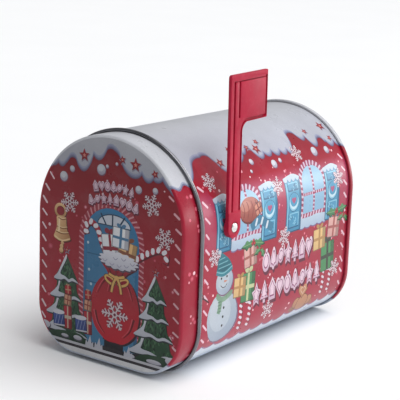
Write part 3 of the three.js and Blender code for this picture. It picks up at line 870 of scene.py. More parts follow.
def lid_art():
    """The lid's flat face: x and z."""
    # all the face's inks are darkened here as painted shade
    art = Art(outline(-LID_INSET - LID_EDGE_RADIUS), RED, RED_TOP, strength=LID_PAINTED_SHADE)
    draw_bands(art, -55, 55, [(0, 60, (182, 44, 62), (164, 34, 50)), (60, 96, (164, 34, 50), (150, 24, 40)),
                              (96, 130, (150, 20, 36), (126, 6, 22))])
    draw_specks(art, (-44, 16, 46, 106), 90, 11)
    draw_candy_dashes(art, -47.6, 22, 110, 3.8, 7.4, 3.6, (240, 216, 222), 4, (0.9, 1.2), 6)
    draw_candy_dashes(art, 44.8, 22, 106, 4.2, 8.0, 2.6, (236, 184, 192), 5, (0.9, 1.2), -6)
    draw_snow_cap(art, (-49, 104), LID_SNOW, 132)
    draw_all(draw_star, art, [(-17.5, 115.6, 3.8, 4), (8.8, 116.8, 2.5, 12), (17.6, 115.2, 3.9, 0),
                              (30.5, 112.2, 2.6, 20)])
    draw_all(draw_snowball, art, [(-5.5, 109.5, 2.9), (-32, 102, 2.7), (-26, 107, 1.7), (20, 102.5, 2.1),
                                  (31, 103.5, 1.7), (5, 114, 0.9), (-1.5, 111.8, 1.0)])
    draw_door(art)
    draw_ornament_row(art, -11.4, 17.4, 98.4, 6.2, 7, 1, 1.8)
    draw_ornament_row(art, -14.6, 20.6, 91.4, 6.2, 8, 3, 3.2)
    draw_bell(art)
    draw_sack(art)
    draw_tree(art, -29.5, 13.6, 58, (15, 13, 10.4, 7.6), 21)
    draw_tree(art, 32.4, 14.4, 58, (15.4, 12, 8.8, 7), 22)
    draw_all(draw_star, art, [(-29.3, 61, 2.2), (32.6, 60.4, 2.2)])
    draw_lid_ground(art)
    draw_all(draw_snowflake, art, [(-27.6, 88, 6.4, 6), (29, 95.5, 6.4, 14), (38, 79, 6.2, 0)])
    return art


def draw_door(art):
    """An arched blue door with a fanlight and a thin candy-striped frame."""
    frame_path = arch_path(-18.6, 23, 12, 91.4, 30)
    draw_candy_frame(art, frame_path, 3.6, 3.0, (216, 148, 158), (164, 56, 72), 0.8, 0.9)
    art.add(arch_path(-16.9, 21.4, 10, 89.4), (46, 96, 136), (58, 130, 178))
    art.add(arch_path(-14.6, 19, 12, 87, 16, 14), (74, 132, 172), (62, 122, 164))
    for z in (28, 46, 62):
        art.add(box(-14.6, z, 19, z + 0.6), (48, 98, 136))
    art.add(arch_path(-7.6, 15.6, 79.6, 86.4, 16, 6.4), (40, 66, 92))
    art.add(arch_path(-7, 15, 80.2, 85.8, 16, 5.8), (210, 216, 228))
    for foot, head in ((-1.4, -5.4), (2.9, 2.9), (7.2, 11.4)):
        art.add(bar(foot, 79.8, head, 86, 1.0), (40, 66, 92))
    for x, z in ((-13, 53), (-11.5, 45), (-14, 68), (-9.6, 30), (17.6, 22), (14, 30), (-6, 22), (-1, 77)):
        art.add(circle(x, z, 0.8, 10), (196, 214, 228))


def draw_bell(art):
    """A brass bell under a ring."""
    bright, dark = (238, 194, 142), (176, 122, 78)
    art.add(ellipse(-33.9, 82, 4.7, 4.5), (86, 40, 30))
    art.add(ellipse(-34.2, 82.4, 4.4, 4.2), dark, bright)
    art.add(ellipse(-34.1, 82.3, 2.9, 2.7), (86, 40, 30))
    art.add(ellipse(-34.3, 82.1, 2.7, 2.5), (150, 26, 42))
    bell = [(-36.4, 79), (-30.6, 79), (-29.8, 75.6), (-29.2, 72), (-27.4, 69), (-26.8, 67), (-30.4, 65.4),
            (-35, 65.2), (-38.8, 67), (-38, 69.6), (-36.8, 72.6), (-36.8, 76)]
    art.add_raised(smooth(bell, 5), (0.7, -0.6), (84, 30, 26), dark, bright, 160)
    for z, half in ((78.2, 2.8), (73.2, 3.7), (70.2, 4.6)):
        rim = curve([(-32.9 - half, z), (-32.9, z - 0.8), (-32.9 + half, z)])
        art.add(ribbon(rim, 0.6), (142, 92, 56))
        art.add(ribbon(rim + (0, 0.6), 0.4), (250, 218, 172))
    art.add(ribbon([(-35, 77.6), (-35.2, 70.6)], 1.1), (252, 224, 182))
    art.add(ribbon(curve([(-38.4, 67.4), (-33, 65.6), (-27.2, 67.4)]), 0.8), (250, 216, 168))
    for x, z, radius in ((-32.6, 64.2, 1.1), (-33.2, 62.2, 1.3), (-33.4, 60, 1.5)):
        art.add(circle(x + 0.3, z - 0.3, radius + 0.2, 12), (104, 60, 44))
        art.add(circle(x, z, radius, 12), (206, 156, 108), (240, 200, 150))


SACK_FOLDS = [[(1.8, 51.6), (-2.6, 48), (-6.6, 41)], [(4.2, 51.4), (2.4, 47.4), (1.2, 43)],
              [(8.4, 51.4), (10, 47.4), (10.8, 43)], [(10.6, 51.6), (15, 48), (18, 41)],
              [(-8, 31), (-5.6, 24), (-1, 19)], [(19, 31), (16.6, 24), (12, 19)]]


def draw_sack(art):
    """A big red gift sack tied with a gold cord, a snowflake on its front and presents in its mouth."""
    draw_bent_cane(art, [(1, 60), (-4, 69), (-7.6, 77), (-12.4, 80), (-16, 76.6), (-15, 73)])
    draw_bent_cane(art, [(13, 60), (21, 65.6), (29, 70.4), (35, 72.6), (39.4, 70.6), (38.6, 66)])
    draw_gift(art, -3.4, 60, 7.2, 75, (226, 228, 240), (150, 44, 60), 8)
    draw_gift(art, 7.6, 60, 19, 72.6, (222, 180, 124), (140, 84, 60), -9)
    draw_gift(art, 3.4, 69, 14, 79.6, (232, 234, 244), (80, 128, 166), -3)
    draw_stool(art)
    mouth = smooth([(2.4, 51.6), (-0.6, 55), (-4.4, 60), (7, 62), (19.6, 60), (13.6, 55), (10.4, 51.6)], 5)
    art.add_raised(mouth, (0.8, -0.6), (70, 24, 38), (132, 18, 34), (188, 42, 58))
    for x, head in ((3.6, -0.4), (6.2, 5.6), (9, 13)):
        art.add(ribbon([(x, 52), (head, 59)], 0.9, 0.4), (104, 12, 26))
    body = smooth([(2.2, 53), (-4.6, 50), (-10, 42), (-11.4, 32), (-8.4, 22), (-1, 15.8), (6, 15.2),
                   (12.6, 15.8), (19.6, 22), (22.4, 32), (21, 42), (16.6, 50), (10.6, 53)], 6)
    art.add_raised(body, (1.2, -0.8), (58, 30, 44), (206, 36, 54), (158, 34, 48))
    for path in SACK_FOLDS:
        fold = curve(path, 5)
        art.add(ribbon(fold, 1.5, 0.3), (112, 16, 30))
        art.add(ribbon(fold + (-1.1, 0.2), 0.8, 0.2), (218, 84, 98))
    draw_snowflake(art, 5.6, 31, 9.2)
    rim = cloud(7.4, 61.4, 13, 4.6, lobes=15, tilt=-1, seed=6)
    art.add_raised(rim, (0.6, -1.0), (92, 70, 88), (198, 198, 212), (234, 234, 244))
    for x, z in ((-2, 61), (3, 59.6), (8, 59.4), (13, 60), (17, 61.8), (5.4, 63), (11, 63.4)):
        curl = curve([(x - 1.6, z), (x, z - 1.2), (x + 1.6, z)])
        art.add(ribbon(curl, 0.5), (168, 166, 186))
    draw_cord(art, (6.4, 52.4))


def draw_cord(art, knot):
    """A gold cord round the sack's neck, with a bow."""
    x, z = knot
    band = curve([(x - 5.4, z + 0.9), (x, z - 0.4), (x + 5.4, z + 0.9)], 5)
    tails = [curve([(x, z), (x + side * 2.2, z - 4), (x + side * 3.4, z - 9)], 5) for side in (-1, 1)]
    for widen, ink in ((0.8, (92, 52, 30)), (0, (224, 178, 104)), (-2.6, (150, 24, 40))):
        for side in (-1, 1):
            art.add(ellipse(x + side * 4.6, z - 2.4, 4.2 + widen / 2, 2.3 + widen / 2, side * 24), ink)
    for widen, ink in ((0.8, (92, 52, 30)), (0, (224, 178, 104))):
        for path in [band] + tails:
            art.add(ribbon(path, 1.4 + widen), ink)
        art.add(ellipse(x, z - 0.6, 1.6 + widen / 2, 1.3 + widen / 2), ink)


def draw_stool(art):
    """The low dark stool under the sack."""
    art.add(box(-1.4, 9, 12, 16.6, 0.6), (22, 20, 26), (48, 44, 52))
    art.add(box(-2.4, 15.4, 13, 17.2, 0.6), (62, 56, 64))


def draw_bent_cane(art, points):
    """A candy cane along a bent line."""
    width = 3.2
    path = curve(points, 6)
    art.add(ribbon(path + (0.4, -0.6), width + 0.7), (96, 24, 40))
    draw_candy_frame(art, path, width, 4.0, (236, 234, 242), (170, 44, 62), 0.9, 2.4)


def draw_lid_ground(art):
    """Stacked presents beside drums, trodden snow along the bottom, and under it a painted highlight and
    painted shadow at the lid's lower edge.
    """
    for x in (-28, -13.4):
        draw_gift(art, x - 2.6, 16, x + 2.6, 28.6, (170, 40, 54), (206, 190, 170), 2)
        draw_gift(art, x - 2.4, 29.6, x + 2.2, 35, (206, 150, 122), (150, 70, 60), -4)
        draw_gift(art, x - 2, 36, x + 2, 40.4, (178, 40, 50), (206, 150, 122), 5)
    for x in (-34.4, -18.2):
        draw_drum(art, x, 20)
    ground = [(-50, 17), (-42, 13.4), (-24, 12.6), (-8, 11.6), (12, 11.4), (22, 12.4), (40, 13), (50, 17),
              (50, 0), (-50, 0)]
    art.add(ground, (46, 42, 48))
    for left, right in ((-42, -15), (21, 46)):
        tier = [(left, 8), (left + 4, 13), (right - 4, 14.4), (right, 8)]
        art.add(smooth(tier, 5), PINE_DARK, (44, 80, 54))
    humps = ((-45, 15, 4, 2.2), (-30, 11.4, 2.6, 0.9), (-20.6, 12, 3, 1.3), (17, 10.4, 3, 1.2),
             (33, 10.6, 5, 1.2), (45, 13.6, 4.4, 2.2))
    for x, z, half_x, half_z in humps:
        art.add(ellipse(x + 0.3, z - 0.4, half_x + 0.3, half_z + 0.3), (84, 80, 94))
        art.add(ellipse(x, z, half_x, half_z), (176, 176, 190), (220, 220, 230))
    for x in (-12, -5.4, 15.4):
        tuft = [(x - 3, 9), (x - 2.4, 12.6), (x - 1.2, 11), (x + 0.6, 15.6), (x + 1.6, 11), (x + 2.8, 12.2),
                (x + 3, 9)]
        art.add(tuft, (206, 208, 220))
    # along the bottom: a painted highlight on the lid's lower edge, a painted dark shadow gap under it, and
    # below that a near-white band painted to look like the bright floor
    for level, ink in ((9.2, (214, 214, 222)), (7.8, (66, 62, 68)), (6.2, (250, 250, 253))):
        art.add(box(-55, 0, 55, level), ink)


def draw_drum(art, x, z):
    """A small blue toy drum with pale rims and cords."""
    art.add(box(x - 4.3, z - 4.2, x + 4.3, z + 3.8, 0.8, 5), (16, 22, 50))
    art.add(box(x - 3.9, z - 3.8, x + 3.9, z + 3.6, 0.6, 5), (44, 62, 122), (58, 84, 160), 160)
    art.add(ellipse(x - 0.3, z + 4, 4.3, 1.3, 5), (222, 222, 232))
    art.add(ribbon([(x - 3.6, z - 3.8), (x + 4.2, z - 3.1)], 0.8), (214, 214, 224))
    for step in (-2.2, 0, 2.2):
        art.add(ribbon([(x + step - 0.8, z - 3), (x + step + 0.8, z + 3)], 0.4), (136, 150, 196))


EDGE_GROUND = 10  # how high the snow at the foot reaches
EDGE_SNOW = 106  # where the snow on the roof starts


def edge_art(length, specks):
    """A strip round the tin, along the outline and across it: snow below, red sides and snow on top."""
    art = Art(box(-HALF_LENGTH, 0, HALF_LENGTH, length), (140, 20, 38))
    ground = np.interp(EDGE_GROUND, WALL_Z, WALL_S)
    snow = np.interp(EDGE_SNOW, WALL_Z, WALL_S)
    across = np.linspace(-1, length + 1, 17)
    edge = np.column_stack([1.3 * np.cos(across * 0.6), across])
    for side in (-1, 1):
        red = box(side * ground, -1, side * snow, length + 1)
        art.add(red, (162, 36, 58), (150, 24, 46), 90 - 90 * side)
        for lift, ink in ((0, SNOW_SHADE), (1.0, (150, 156, 176)), (2.0, SNOW)):
            wave = np.column_stack([side * (snow + edge[:, 0] + lift), edge[:, 1]])
            top = side * (HALF_LENGTH + 1)
            art.add(np.concatenate([wave, [(top, length + 1), (top, -1)]]), ink)
        if specks:
            low, high = sorted((side * (ground + 2), side * (snow - 4)))
            draw_specks(art, (low, 5, high, length - 1), 16, 50 + side, (0.5, 1.2))
    art.add(box(-ground, -1, ground, length + 1), (176, 184, 198))
    for side in (-1, 1):
        art.add(box(side * ground - 0.6, -1, side * ground + 0.6, length + 1), (132, 104, 132))
    for s in WALL_S[:-1]:
        art.guide((s, -1), (s, length + 1))
        art.guide((-s, -1), (-s, length + 1))
    return art


def rear_art():
    """The rear panel seen from behind: left to right, and z."""
    art = Art(outline(PANEL_WALL - PANEL_BEND), RED, RED_TOP)
    draw_bands(art, -55, 55, [(0, 60, (158, 28, 46), (146, 22, 40)),
                              (60, 130, (146, 22, 40), (104, 10, 24))])
    draw_specks(art, (-42, 16, 42, 106), 110, 31)
    lobes = [(-36, 107, 3), (-28, 112, 2), (-16, 114, 5), (-8, 117, 2), (0, 113, 3.4), (9, 118, 3),
             (21, 112, 5), (29, 113, 2.4), (37, 108, 4), (50, 104, 3)]
    draw_snow_cap(art, (-50, 103), lobes, 132)
    draw_all(draw_star, art, [(-20, 119, 3.2, 5), (4, 121, 2.6, 18), (24, 117, 3.4, 0)])
    draw_all(draw_snowball, art, [(-30, 103, 2.4), (30, 104, 2), (-12, 107, 1.5), (14, 107.6, 1.8)])
    half = SLOT_LENGTH / 2
    art.add(box(-half - 4, SLOT_HEIGHT - 6, half + 4, SLOT_HEIGHT + 6, 5.6), PLUM)
    art.add(box(-half - 3.4, SLOT_HEIGHT - 5.4, half + 3.4, SLOT_HEIGHT + 5.4, 5.2), (198, 204, 214),
            (220, 224, 230))
    draw_tree(art, -26, 16, 66, (16, 13, 10, 7), 41)
    draw_tree(art, 27, 16, 58, (14, 11, 8), 42)
    draw_tree(art, 2, 14, 78, (19, 16, 13, 10, 7), 43)
    draw_star(art, 2, 80.6, 3.4)
    draw_gift(art, -16, 12, -5, 21, TAN, (170, 50, 60), 4)
    draw_gift(art, 12, 12, 21, 23, (74, 140, 172), (220, 224, 230), -5)
    humps = [(-38, 13, -2), (-24, 12, -2.4), (-10, 11, -2), (6, 11.4, -2.2), (20, 12, -2.4), (36, 13, -2),
             (50, 14, -2)]
    edge = lobed_line((-50, 14), humps)
    for lift, ink in ((0.4, (92, 84, 104)), (-0.8, (186, 194, 208)), (-3, (204, 212, 222))):
        art.add(np.concatenate([edge + (0, lift), [(50, 0), (-50, 0)]]), ink)
    draw_all(draw_snowflake, art, [(-34, 84, 6, 8), (34, 82, 6, 0), (-20, 74, 3.6, 12), (22, 70, 3.8, 20)])
    for share in np.linspace(0, 1, 6):
        art.follow(outline(PANEL_INNER - PANEL_SLOPE * share))
    art.cut(slot_shape(0.5))
    return art


def slot_shape(grow=0.0):
    """The coin slot's outline, made wider all round by grow."""
    half, radius = SLOT_LENGTH / 2 + grow, SLOT_WIDTH / 2 + grow
    return box(-half, SLOT_HEIGHT - radius, half, SLOT_HEIGHT + radius, radius * 0.999)


# ---------------------------------------------------------------- meshes

SHARP_ANGLE = math.radians(35)


def in_scene(name, data):
    """A new object in the scene, of a mesh, a light or a camera."""
    obj = bpy.data.objects.new(name, data)
    bpy.context.scene.collection.objects.link(obj)
    return obj


def new_object(name, points, faces):
    """A smooth object from points in the tin's millimetres."""
    mesh = bpy.data.meshes.new(name)
    mesh.from_pydata(place(points).tolist(), [], [list(map(int, f)) for f in faces])
    work = bmesh.new()
    work.from_mesh(mesh)
    bmesh.ops.recalc_face_normals(work, faces=work.faces)
    work.to_mesh(mesh)
    work.free()
    mesh.shade_smooth()
    mesh.set_sharp_from_angle(angle=SHARP_ANGLE)
    return in_scene(name, mesh)


def sweep(profile, closed):
    """Points and faces of a profile of y, offset points swept round the section."""
    x, z, nx, nz = wall(ring_lengths())
    count = len(x)
    rings = []
    for y, offset in profile:
        rings.append(np.column_stack([x + offset * nx, np.full(count, y), z + offset * nz]))
    faces = []
    for r in range(len(rings) if closed else len(rings) - 1):
        here, following = r * count, (r + 1) % len(rings) * count
        for i in range(count):
            j = (i + 1) % count
            faces.append((here + i, following + i, following + j, here + j))
    if not closed:
        faces.append(range(count))
        faces.append(range((len(rings) - 1) * count, len(rings) * count))
    return np.concatenate(rings), faces


def print_on(name, art, to_tin, material):
    """A drawing as a thin closed skin. to_tin gives places and normals of flat points."""
    flat, triangles, inks = art.triangles()
    places, normals = to_tin(flat)
    a, b, c = (places[triangles[:, k]] for k in range(3))
    facing = np.einsum("ij,ij->i", np.cross(b - a, c - a), normals[triangles[:, 0]])
    if facing.sum() < 0:
        triangles = triangles[:, ::-1]
        inks = inks[:, ::-1]
    count = len(places)
    directed = {}
    for index, corners in enumerate(triangles.tolist()):
        for k in range(3):
            directed[(corners[k], corners[(k + 1) % 3])] = index
    rims = [(edge, index) for edge, index in directed.items() if (edge[1], edge[0]) not in directed]
    faces = triangles.tolist()
    faces += (triangles[:, ::-1] + count).tolist()
    faces += [[second, first, first + count, second + count] for (first, second), _ in rims]
    mesh = bpy.data.meshes.new(name)
    everything = np.concatenate([places, places - FILM * normals])
    mesh.from_pydata(place(everything).tolist(), [], faces)
    colours = [inks.reshape(-1, 4), inks[:, ::-1].reshape(-1, 4)]
    colours += [np.repeat(inks[index][:1], 4, axis=0) for _, index in rims]
    attribute = mesh.color_attributes.new(name="ink", type="FLOAT_COLOR", domain="CORNER")
    attribute.data.foreach_set("color", np.concatenate(colours).ravel())
    mesh.shade_smooth()
    mesh.normals_split_custom_set_from_vertices(np.concatenate([normals, -normals]).tolist())
    mesh.materials.append(material)
    return in_scene(name, mesh)


def on_side(side):
    """Flat points, along y and up the wall, onto the barrel's right (1) or left (-1) wall."""
    def to_tin(flat):
        x, z, nx, nz = wall(side * (flat[:, 1] + SIDE_ZERO))
        nothing = np.zeros(len(flat))
        return np.column_stack([x, flat[:, 0], z]), np.column_stack([nx, nothing, nz])
    return to_tin


def on_strip(path, facing):
    """Flat points, round the outline and across a strip, onto a profile of y, offset points.

    facing is 1 where the outside lies to the left along the profile, seen with y to the right.
    """
    path = np.asarray(path, float)
    length = np.concatenate([[0], np.cumsum(np.linalg.norm(np.diff(path, axis=0), axis=1))])
    along = np.gradient(path, length, axis=0)
    along /= np.linalg.norm(along, axis=1)[:, None]

    def to_tin(flat):
        y, offset = (np.interp(flat[:, 1], length, values) for values in path.T)
        way_y, way_out = (np.interp(flat[:, 1], length, values) for values in along.T)
        x, z, nx, nz = wall(flat[:, 0])
        normal = np.column_stack([nx * way_y, -way_out, nz * way_y])
        normal *= facing / np.linalg.norm(normal, axis=1)[:, None]
        return np.column_stack([x + offset * nx, y, z + offset * nz]), normal

    return to_tin, length


def on_lid_face(flat):
    count = len(flat)
    places = np.column_stack([flat[:, 0], np.full(count, LID_FRONT), flat[:, 1]])
    return places, np.tile([0.0, -1.0, 0.0], (count, 1))


def panel_height(offset):
    """How far the rear panel's raised middle stands out, at offsets from the barrel wall."""
    share = np.clip((PANEL_INNER - offset) / PANEL_SLOPE, 0, 1)
    return PANEL_RAISE * share * share * (3 - 2 * share)


def on_rear_panel(flat):
    x, z = -flat[:, 0], flat[:, 1]
    step = 0.05

    def height(shift_x, shift_z):
        return panel_height(inside_offset(x + shift_x, z + shift_z))

    slope_x = (height(step, 0) - height(-step, 0)) / (2 * step)
    slope_z = (height(0, step) - height(0, -step)) / (2 * step)
    normal = np.column_stack([-slope_x, np.ones(len(x)), -slope_z])
    normal /= np.linalg.norm(normal, axis=1)[:, None]
    return np.column_stack([x, PANEL_FACE + height(0, 0), z]), normal


def lathe(name, profile):
    """A turned piece round the flag's axis from a closed profile of radius, x points."""
    steps = 64
    points, faces, rows = [], [], []
    for radius, x in profile:
        if radius == 0:
            rows.append([len(points)] * steps)
            points.append((x, RIVET_Y, RIVET_Z))
        else:
            rows.append(list(range(len(points), len(points) + steps)))
            for k in range(steps):
                angle = 2 * math.pi * k / steps
                away = (radius * math.cos(angle), radius * math.sin(angle))
                points.append((x, RIVET_Y + away[0], RIVET_Z + away[1]))
    count = len(rows)
    ends_on_axis = profile[0][0] == 0 and profile[-1][0] == 0
    for r in range(count - 1 if ends_on_axis else count):
        here, following = rows[r], rows[(r + 1) % count]
        for k in range(steps):
            j = (k + 1) % steps
            face = list(dict.fromkeys([here[k], here[j], following[j], following[k]]))
            if len(face) > 2:
                faces.append(face)
    return new_object(name, points, faces)


def prism(name, shape, front, rear):
    """A solid from a closed x, z outline between two y values."""
    count = len(shape)
    points = [(x, y, z) for y in (front, rear) for x, z in shape]
    faces = [(i, (i + 1) % count, count + (i + 1) % count, count + i) for i in range(count)]
    faces += [range(count), range(count, 2 * count)]
    return new_object(name, points, faces)


def plate(name, shape, low, high, bevel=0.0, back_bevel=0.0):
    """A solid from a closed y, z outline between two x values, its edges rounded."""
    shape = np.asarray(shape, float)
    y, z = shape[:, 0], shape[:, 1]
    if np.sum(y * np.roll(z, -1) - z * np.roll(y, -1)) < 0:
        shape = shape[::-1]
    angles = np.linspace(0, math.pi / 2, 5)
    rings = [(low, 0.0)]
    if back_bevel:
        rings = [(low + back_bevel * (1 - math.cos(a)), back_bevel * (1 - math.sin(a))) for a in angles]
    if bevel:
        rings += [(high - bevel * (1 - math.sin(a)), bevel * (1 - math.cos(a))) for a in angles]
    else:
        rings.append((high, 0.0))
    points, faces = [], []
    count = len(shape)
    for x, inset in rings:
        points += [(x, y, z) for y, z in inset_path(shape, inset)]
    for r in range(len(rings) - 1):
        for i in range(count):
            j = (i + 1) % count
            faces.append((r * count + i, r * count + j, (r + 1) * count + j, (r + 1) * count + i))
    faces.append(range(count))
    faces.append(range((len(rings) - 1) * count, len(rings) * count))
    return new_object(name, points, faces)


def inset_path(shape, distance):
    """A closed outline moved inwards."""
    if distance == 0:
        return shape
    ahead = np.roll(shape, -1, axis=0) - shape
    ahead /= np.linalg.norm(ahead, axis=1)[:, None]
    behind = np.roll(ahead, 1, axis=0)
    normal_ahead = np.column_stack([-ahead[:, 1], ahead[:, 0]])
    normal_behind = np.column_stack([-behind[:, 1], behind[:, 0]])
    middle = normal_ahead + normal_behind
    middle /= np.linalg.norm(middle, axis=1)[:, None]
    reach = distance / np.maximum(np.einsum("ij,ij->i", middle, normal_ahead), 0.3)
    return shape + middle * reach[:, None]


def combine(obj, tool, operation):
    """Applies a boolean with another object and removes that object."""
    modifier = obj.modifiers.new("combine", "BOOLEAN")
    modifier.operation = operation
    modifier.solver = "EXACT"
    modifier.object = tool
    apply_modifiers(obj)
    bpy.data.objects.remove(tool)


def apply_modifiers(obj):
    """Turns an object's modifiers into plain mesh."""
    bpy.context.view_layer.update()
    shaped = obj.evaluated_get(bpy.context.evaluated_depsgraph_get())
    mesh = bpy.data.meshes.new_from_object(shaped)
    obj.modifiers.clear()
    obj.data = mesh


# ---------------------------------------------------------------- materials


def new_material(name):
    """A material with its node tree and its main shader."""
    material = bpy.data.materials.new(name)
    material.use_nodes = True
    return material, material.node_tree, material.node_tree.nodes["Principled BSDF"]


def add_node(tree, kind, settings=None, **inputs):
    """A shader node. Inputs are given by name, as values or as other nodes' outputs."""
    node = tree.nodes.new(kind)
    for key, value in (settings or {}).items():
        setattr(node, key, value)
    for key, value in inputs.items():
        socket = node.inputs[key.replace("_", " ")]
        if isinstance(value, bpy.types.NodeSocket):
            tree.links.new(value, socket)
        else:
            socket.default_value = value
    return node


def noise(tree, scale, detail=3.0, roughness=0.5, stretch=(1, 1, 1)):
    """A noise value in metres, its scale being waves per metre."""
    coordinates = add_node(tree, "ShaderNodeTexCoord").outputs["Object"]
    mapping = add_node(tree, "ShaderNodeMapping", Vector=coordinates, Scale=stretch)
    texture = add_node(tree, "ShaderNodeTexNoise", Vector=mapping.outputs["Vector"], Scale=scale,
                       Detail=detail, Roughness=roughness)
    return texture.outputs["Fac"]


def ranged(tree, value, low, high, from_low=0.3, from_high=0.7):
    """A value spread over a range."""
    node = add_node(tree, "ShaderNodeMapRange", Value=value)
    node.inputs["From Min"].default_value = from_low
    node.inputs["From Max"].default_value = from_high
    node.inputs["To Min"].default_value = low
    node.inputs["To Max"].default_value = high
    return node.outputs["Result"]


def mixed(tree, first, second, factor, blend="MIX"):
    """Two colours mixed by a factor."""
    node = add_node(tree, "ShaderNodeMix", {"data_type": "RGBA", "blend_type": blend})
    for socket, value in ((node.inputs[0], factor), (node.inputs[6], first), (node.inputs[7], second)):
        if isinstance(value, bpy.types.NodeSocket):
            tree.links.new(value, socket)
        else:
            socket.default_value = value
    return node.outputs[2]


def bumped(tree, shader, *layers):
    """Adds bumps to a shader: pairs of height value and depth in metres."""
    normal = None
    for height, depth in layers:
        bump = add_node(tree, "ShaderNodeBump", Height=height, Distance=depth, Strength=1.0)
        if normal is not None:
            tree.links.new(normal, bump.inputs["Normal"])
        normal = bump.outputs["Normal"]
    tree.links.new(normal, shader.inputs["Normal"])


def print_material(name, gloss):
    """Gloss-varnished ink on tinplate: the drawing's colours with screen grain and smudges."""
    smudge = 0.05
    material, tree, shader = new_material(name)
    ink = add_node(tree, "ShaderNodeAttribute", {"attribute_name": "ink"}).outputs["Color"]
    patches = ranged(tree, noise(tree, 26, 5, 0.6), 0.9, 1.06)
    shade = add_node(tree, "ShaderNodeCombineColor", Red=patches, Green=patches,
                     Blue=patches).outputs["Color"]
    colour = mixed(tree, ink, shade, 1.0, "MULTIPLY")
    coordinates = add_node(tree, "ShaderNodeTexCoord").outputs["Object"]
    screen = add_node(tree, "ShaderNodeTexVoronoi", Vector=coordinates, Scale=2300).outputs["Distance"]
    grain = ranged(tree, screen, 1.04, 0.93, 0.1, 0.8)
    dots = add_node(tree, "ShaderNodeCombineColor", Red=grain, Green=grain, Blue=grain).outputs["Color"]
    colour = mixed(tree, colour, dots, 1.0, "MULTIPLY")
    dust = ranged(tree, noise(tree, 60, 6, 0.65), 0.0, smudge, 0.5, 0.72)
    colour = mixed(tree, colour, (0.42, 0.4, 0.4, 1), dust)
    tree.links.new(colour, shader.inputs["Base Color"])
    tree.links.new(ranged(tree, noise(tree, 45, 4, 0.6), 0.24, 0.4), shader.inputs["Roughness"])
    shader.inputs["Coat Weight"].default_value = gloss
    shader.inputs["Coat Roughness"].default_value = 0.2
    shader.inputs["Specular IOR Level"].default_value = 0.2
    bumped(tree, shader, (noise(tree, 14, 1, 0.3), 0.0002), (noise(tree, 750, 2, 0.5), 0.00001))
    return material


def tin_material(name, tint):
    """Bare tinplate with a fine rolling grain and dull patches."""
    material, tree, shader = new_material(name)
    patches = ranged(tree, noise(tree, 40, 5, 0.6), 0.0, 1.0)
    colour = mixed(tree, tint, tuple(v * 0.7 for v in tint[:3]) + (1,), patches)
    tree.links.new(colour, shader.inputs["Base Color"])
    shader.inputs["Metallic"].default_value = 1.0
    tree.links.new(ranged(tree, noise(tree, 120, 4, 0.6), 0.2, 0.42), shader.inputs["Roughness"])
    bumped(tree, shader, (noise(tree, 35, 2, 0.4), 0.0002),
           (noise(tree, 2600, 2, 0.6, (1, 0.05, 1)), 0.00001))
    return material


def flag_material():
    """Moulded red plastic, a little cloudy, with fine surface grain."""
    material, tree, shader = new_material("flag_plastic")
    cloud_share = ranged(tree, noise(tree, 55, 4, 0.6), 0.0, 1.0)
    colour = mixed(tree, (0.46, 0.012, 0.045, 1), (0.37, 0.008, 0.034, 1), cloud_share)
    dust = ranged(tree, noise(tree, 300, 5, 0.7), 0.0, 0.14, 0.52, 0.75)
    colour = mixed(tree, colour, (0.55, 0.14, 0.2, 1), dust)
    tree.links.new(colour, shader.inputs["Base Color"])
    tree.links.new(ranged(tree, noise(tree, 90, 4, 0.6), 0.4, 0.55), shader.inputs["Roughness"])
    shader.inputs["Subsurface Weight"].default_value = 0.08
    shader.inputs["Subsurface Radius"].default_value = (0.002, 0.0006, 0.0006)
    shader.inputs["Specular IOR Level"].default_value = 0.2
    bumped(tree, shader, (noise(tree, 70, 2, 0.4), 0.00012), (noise(tree, 1500, 3, 0.6), 0.00002))
    return material


def metal_material(name, colour, low, high):
    """Polished or brushed metal with turning marks and small stains."""
    material, tree, shader = new_material(name)
    stain = ranged(tree, noise(tree, 700, 4, 0.6), 0.0, 1.0, 0.45, 0.7)
    shade = mixed(tree, colour, tuple(v * 0.72 for v in colour[:3]) + (1,), stain)
    tree.links.new(shade, shader.inputs["Base Color"])
    shader.inputs["Metallic"].default_value = 1.0
    tree.links.new(ranged(tree, noise(tree, 1200, 4, 0.6), low, high), shader.inputs["Roughness"])
    bumped(tree, shader, (noise(tree, 2400, 3, 0.6), 0.000012))
    return material


PRINT = print_material("printed_tinplate", 0.25)
LID_PRINT = print_material("printed_lid", 0.08)
PANEL_PRINT = print_material("printed_panel", 0.25)
# the bare tin of the lid and rear panel is very dark: a painted dark reflection, as their tight rolled edges
# mirror dark surroundings
DARK_PAINTED_TIN = tin_material("bare_tinplate_painted_dark", (0.22, 0.22, 0.24, 1))
BARREL_TIN = tin_material("barrel_tinplate", (0.62, 0.62, 0.63, 1))
FLAG_RED = flag_material()
RIVET_METAL = metal_material("rivet_metal", (0.86, 0.85, 0.83, 1), 0.12, 0.26)
WASHER_METAL = metal_material("washer_metal", (0.6, 0.6, 0.62, 1), 0.26, 0.42)

# ---------------------------------------------------------------- pieces


def finish_piece(obj, body, node=None, material=None):
    """Gives a piece its body and material, and hides the CAD node that it stands for."""
    if material is not None:
        obj.data.materials.clear()
        obj.data.materials.append(material)
    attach(obj, body)
    if node:
        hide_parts(node)


def print_strip(name, path, facing, specks, material):
    """A printed band round the tin that follows a profile of y, offset points."""
    to_tin, length = on_strip(path, facing)
    art = edge_art(length[-1], specks)
    for across in length[1:-1]:
        art.guide((-HALF_LENGTH - 1, across), (HALF_LENGTH + 1, across))
    return print_on(name, art, to_tin, material)


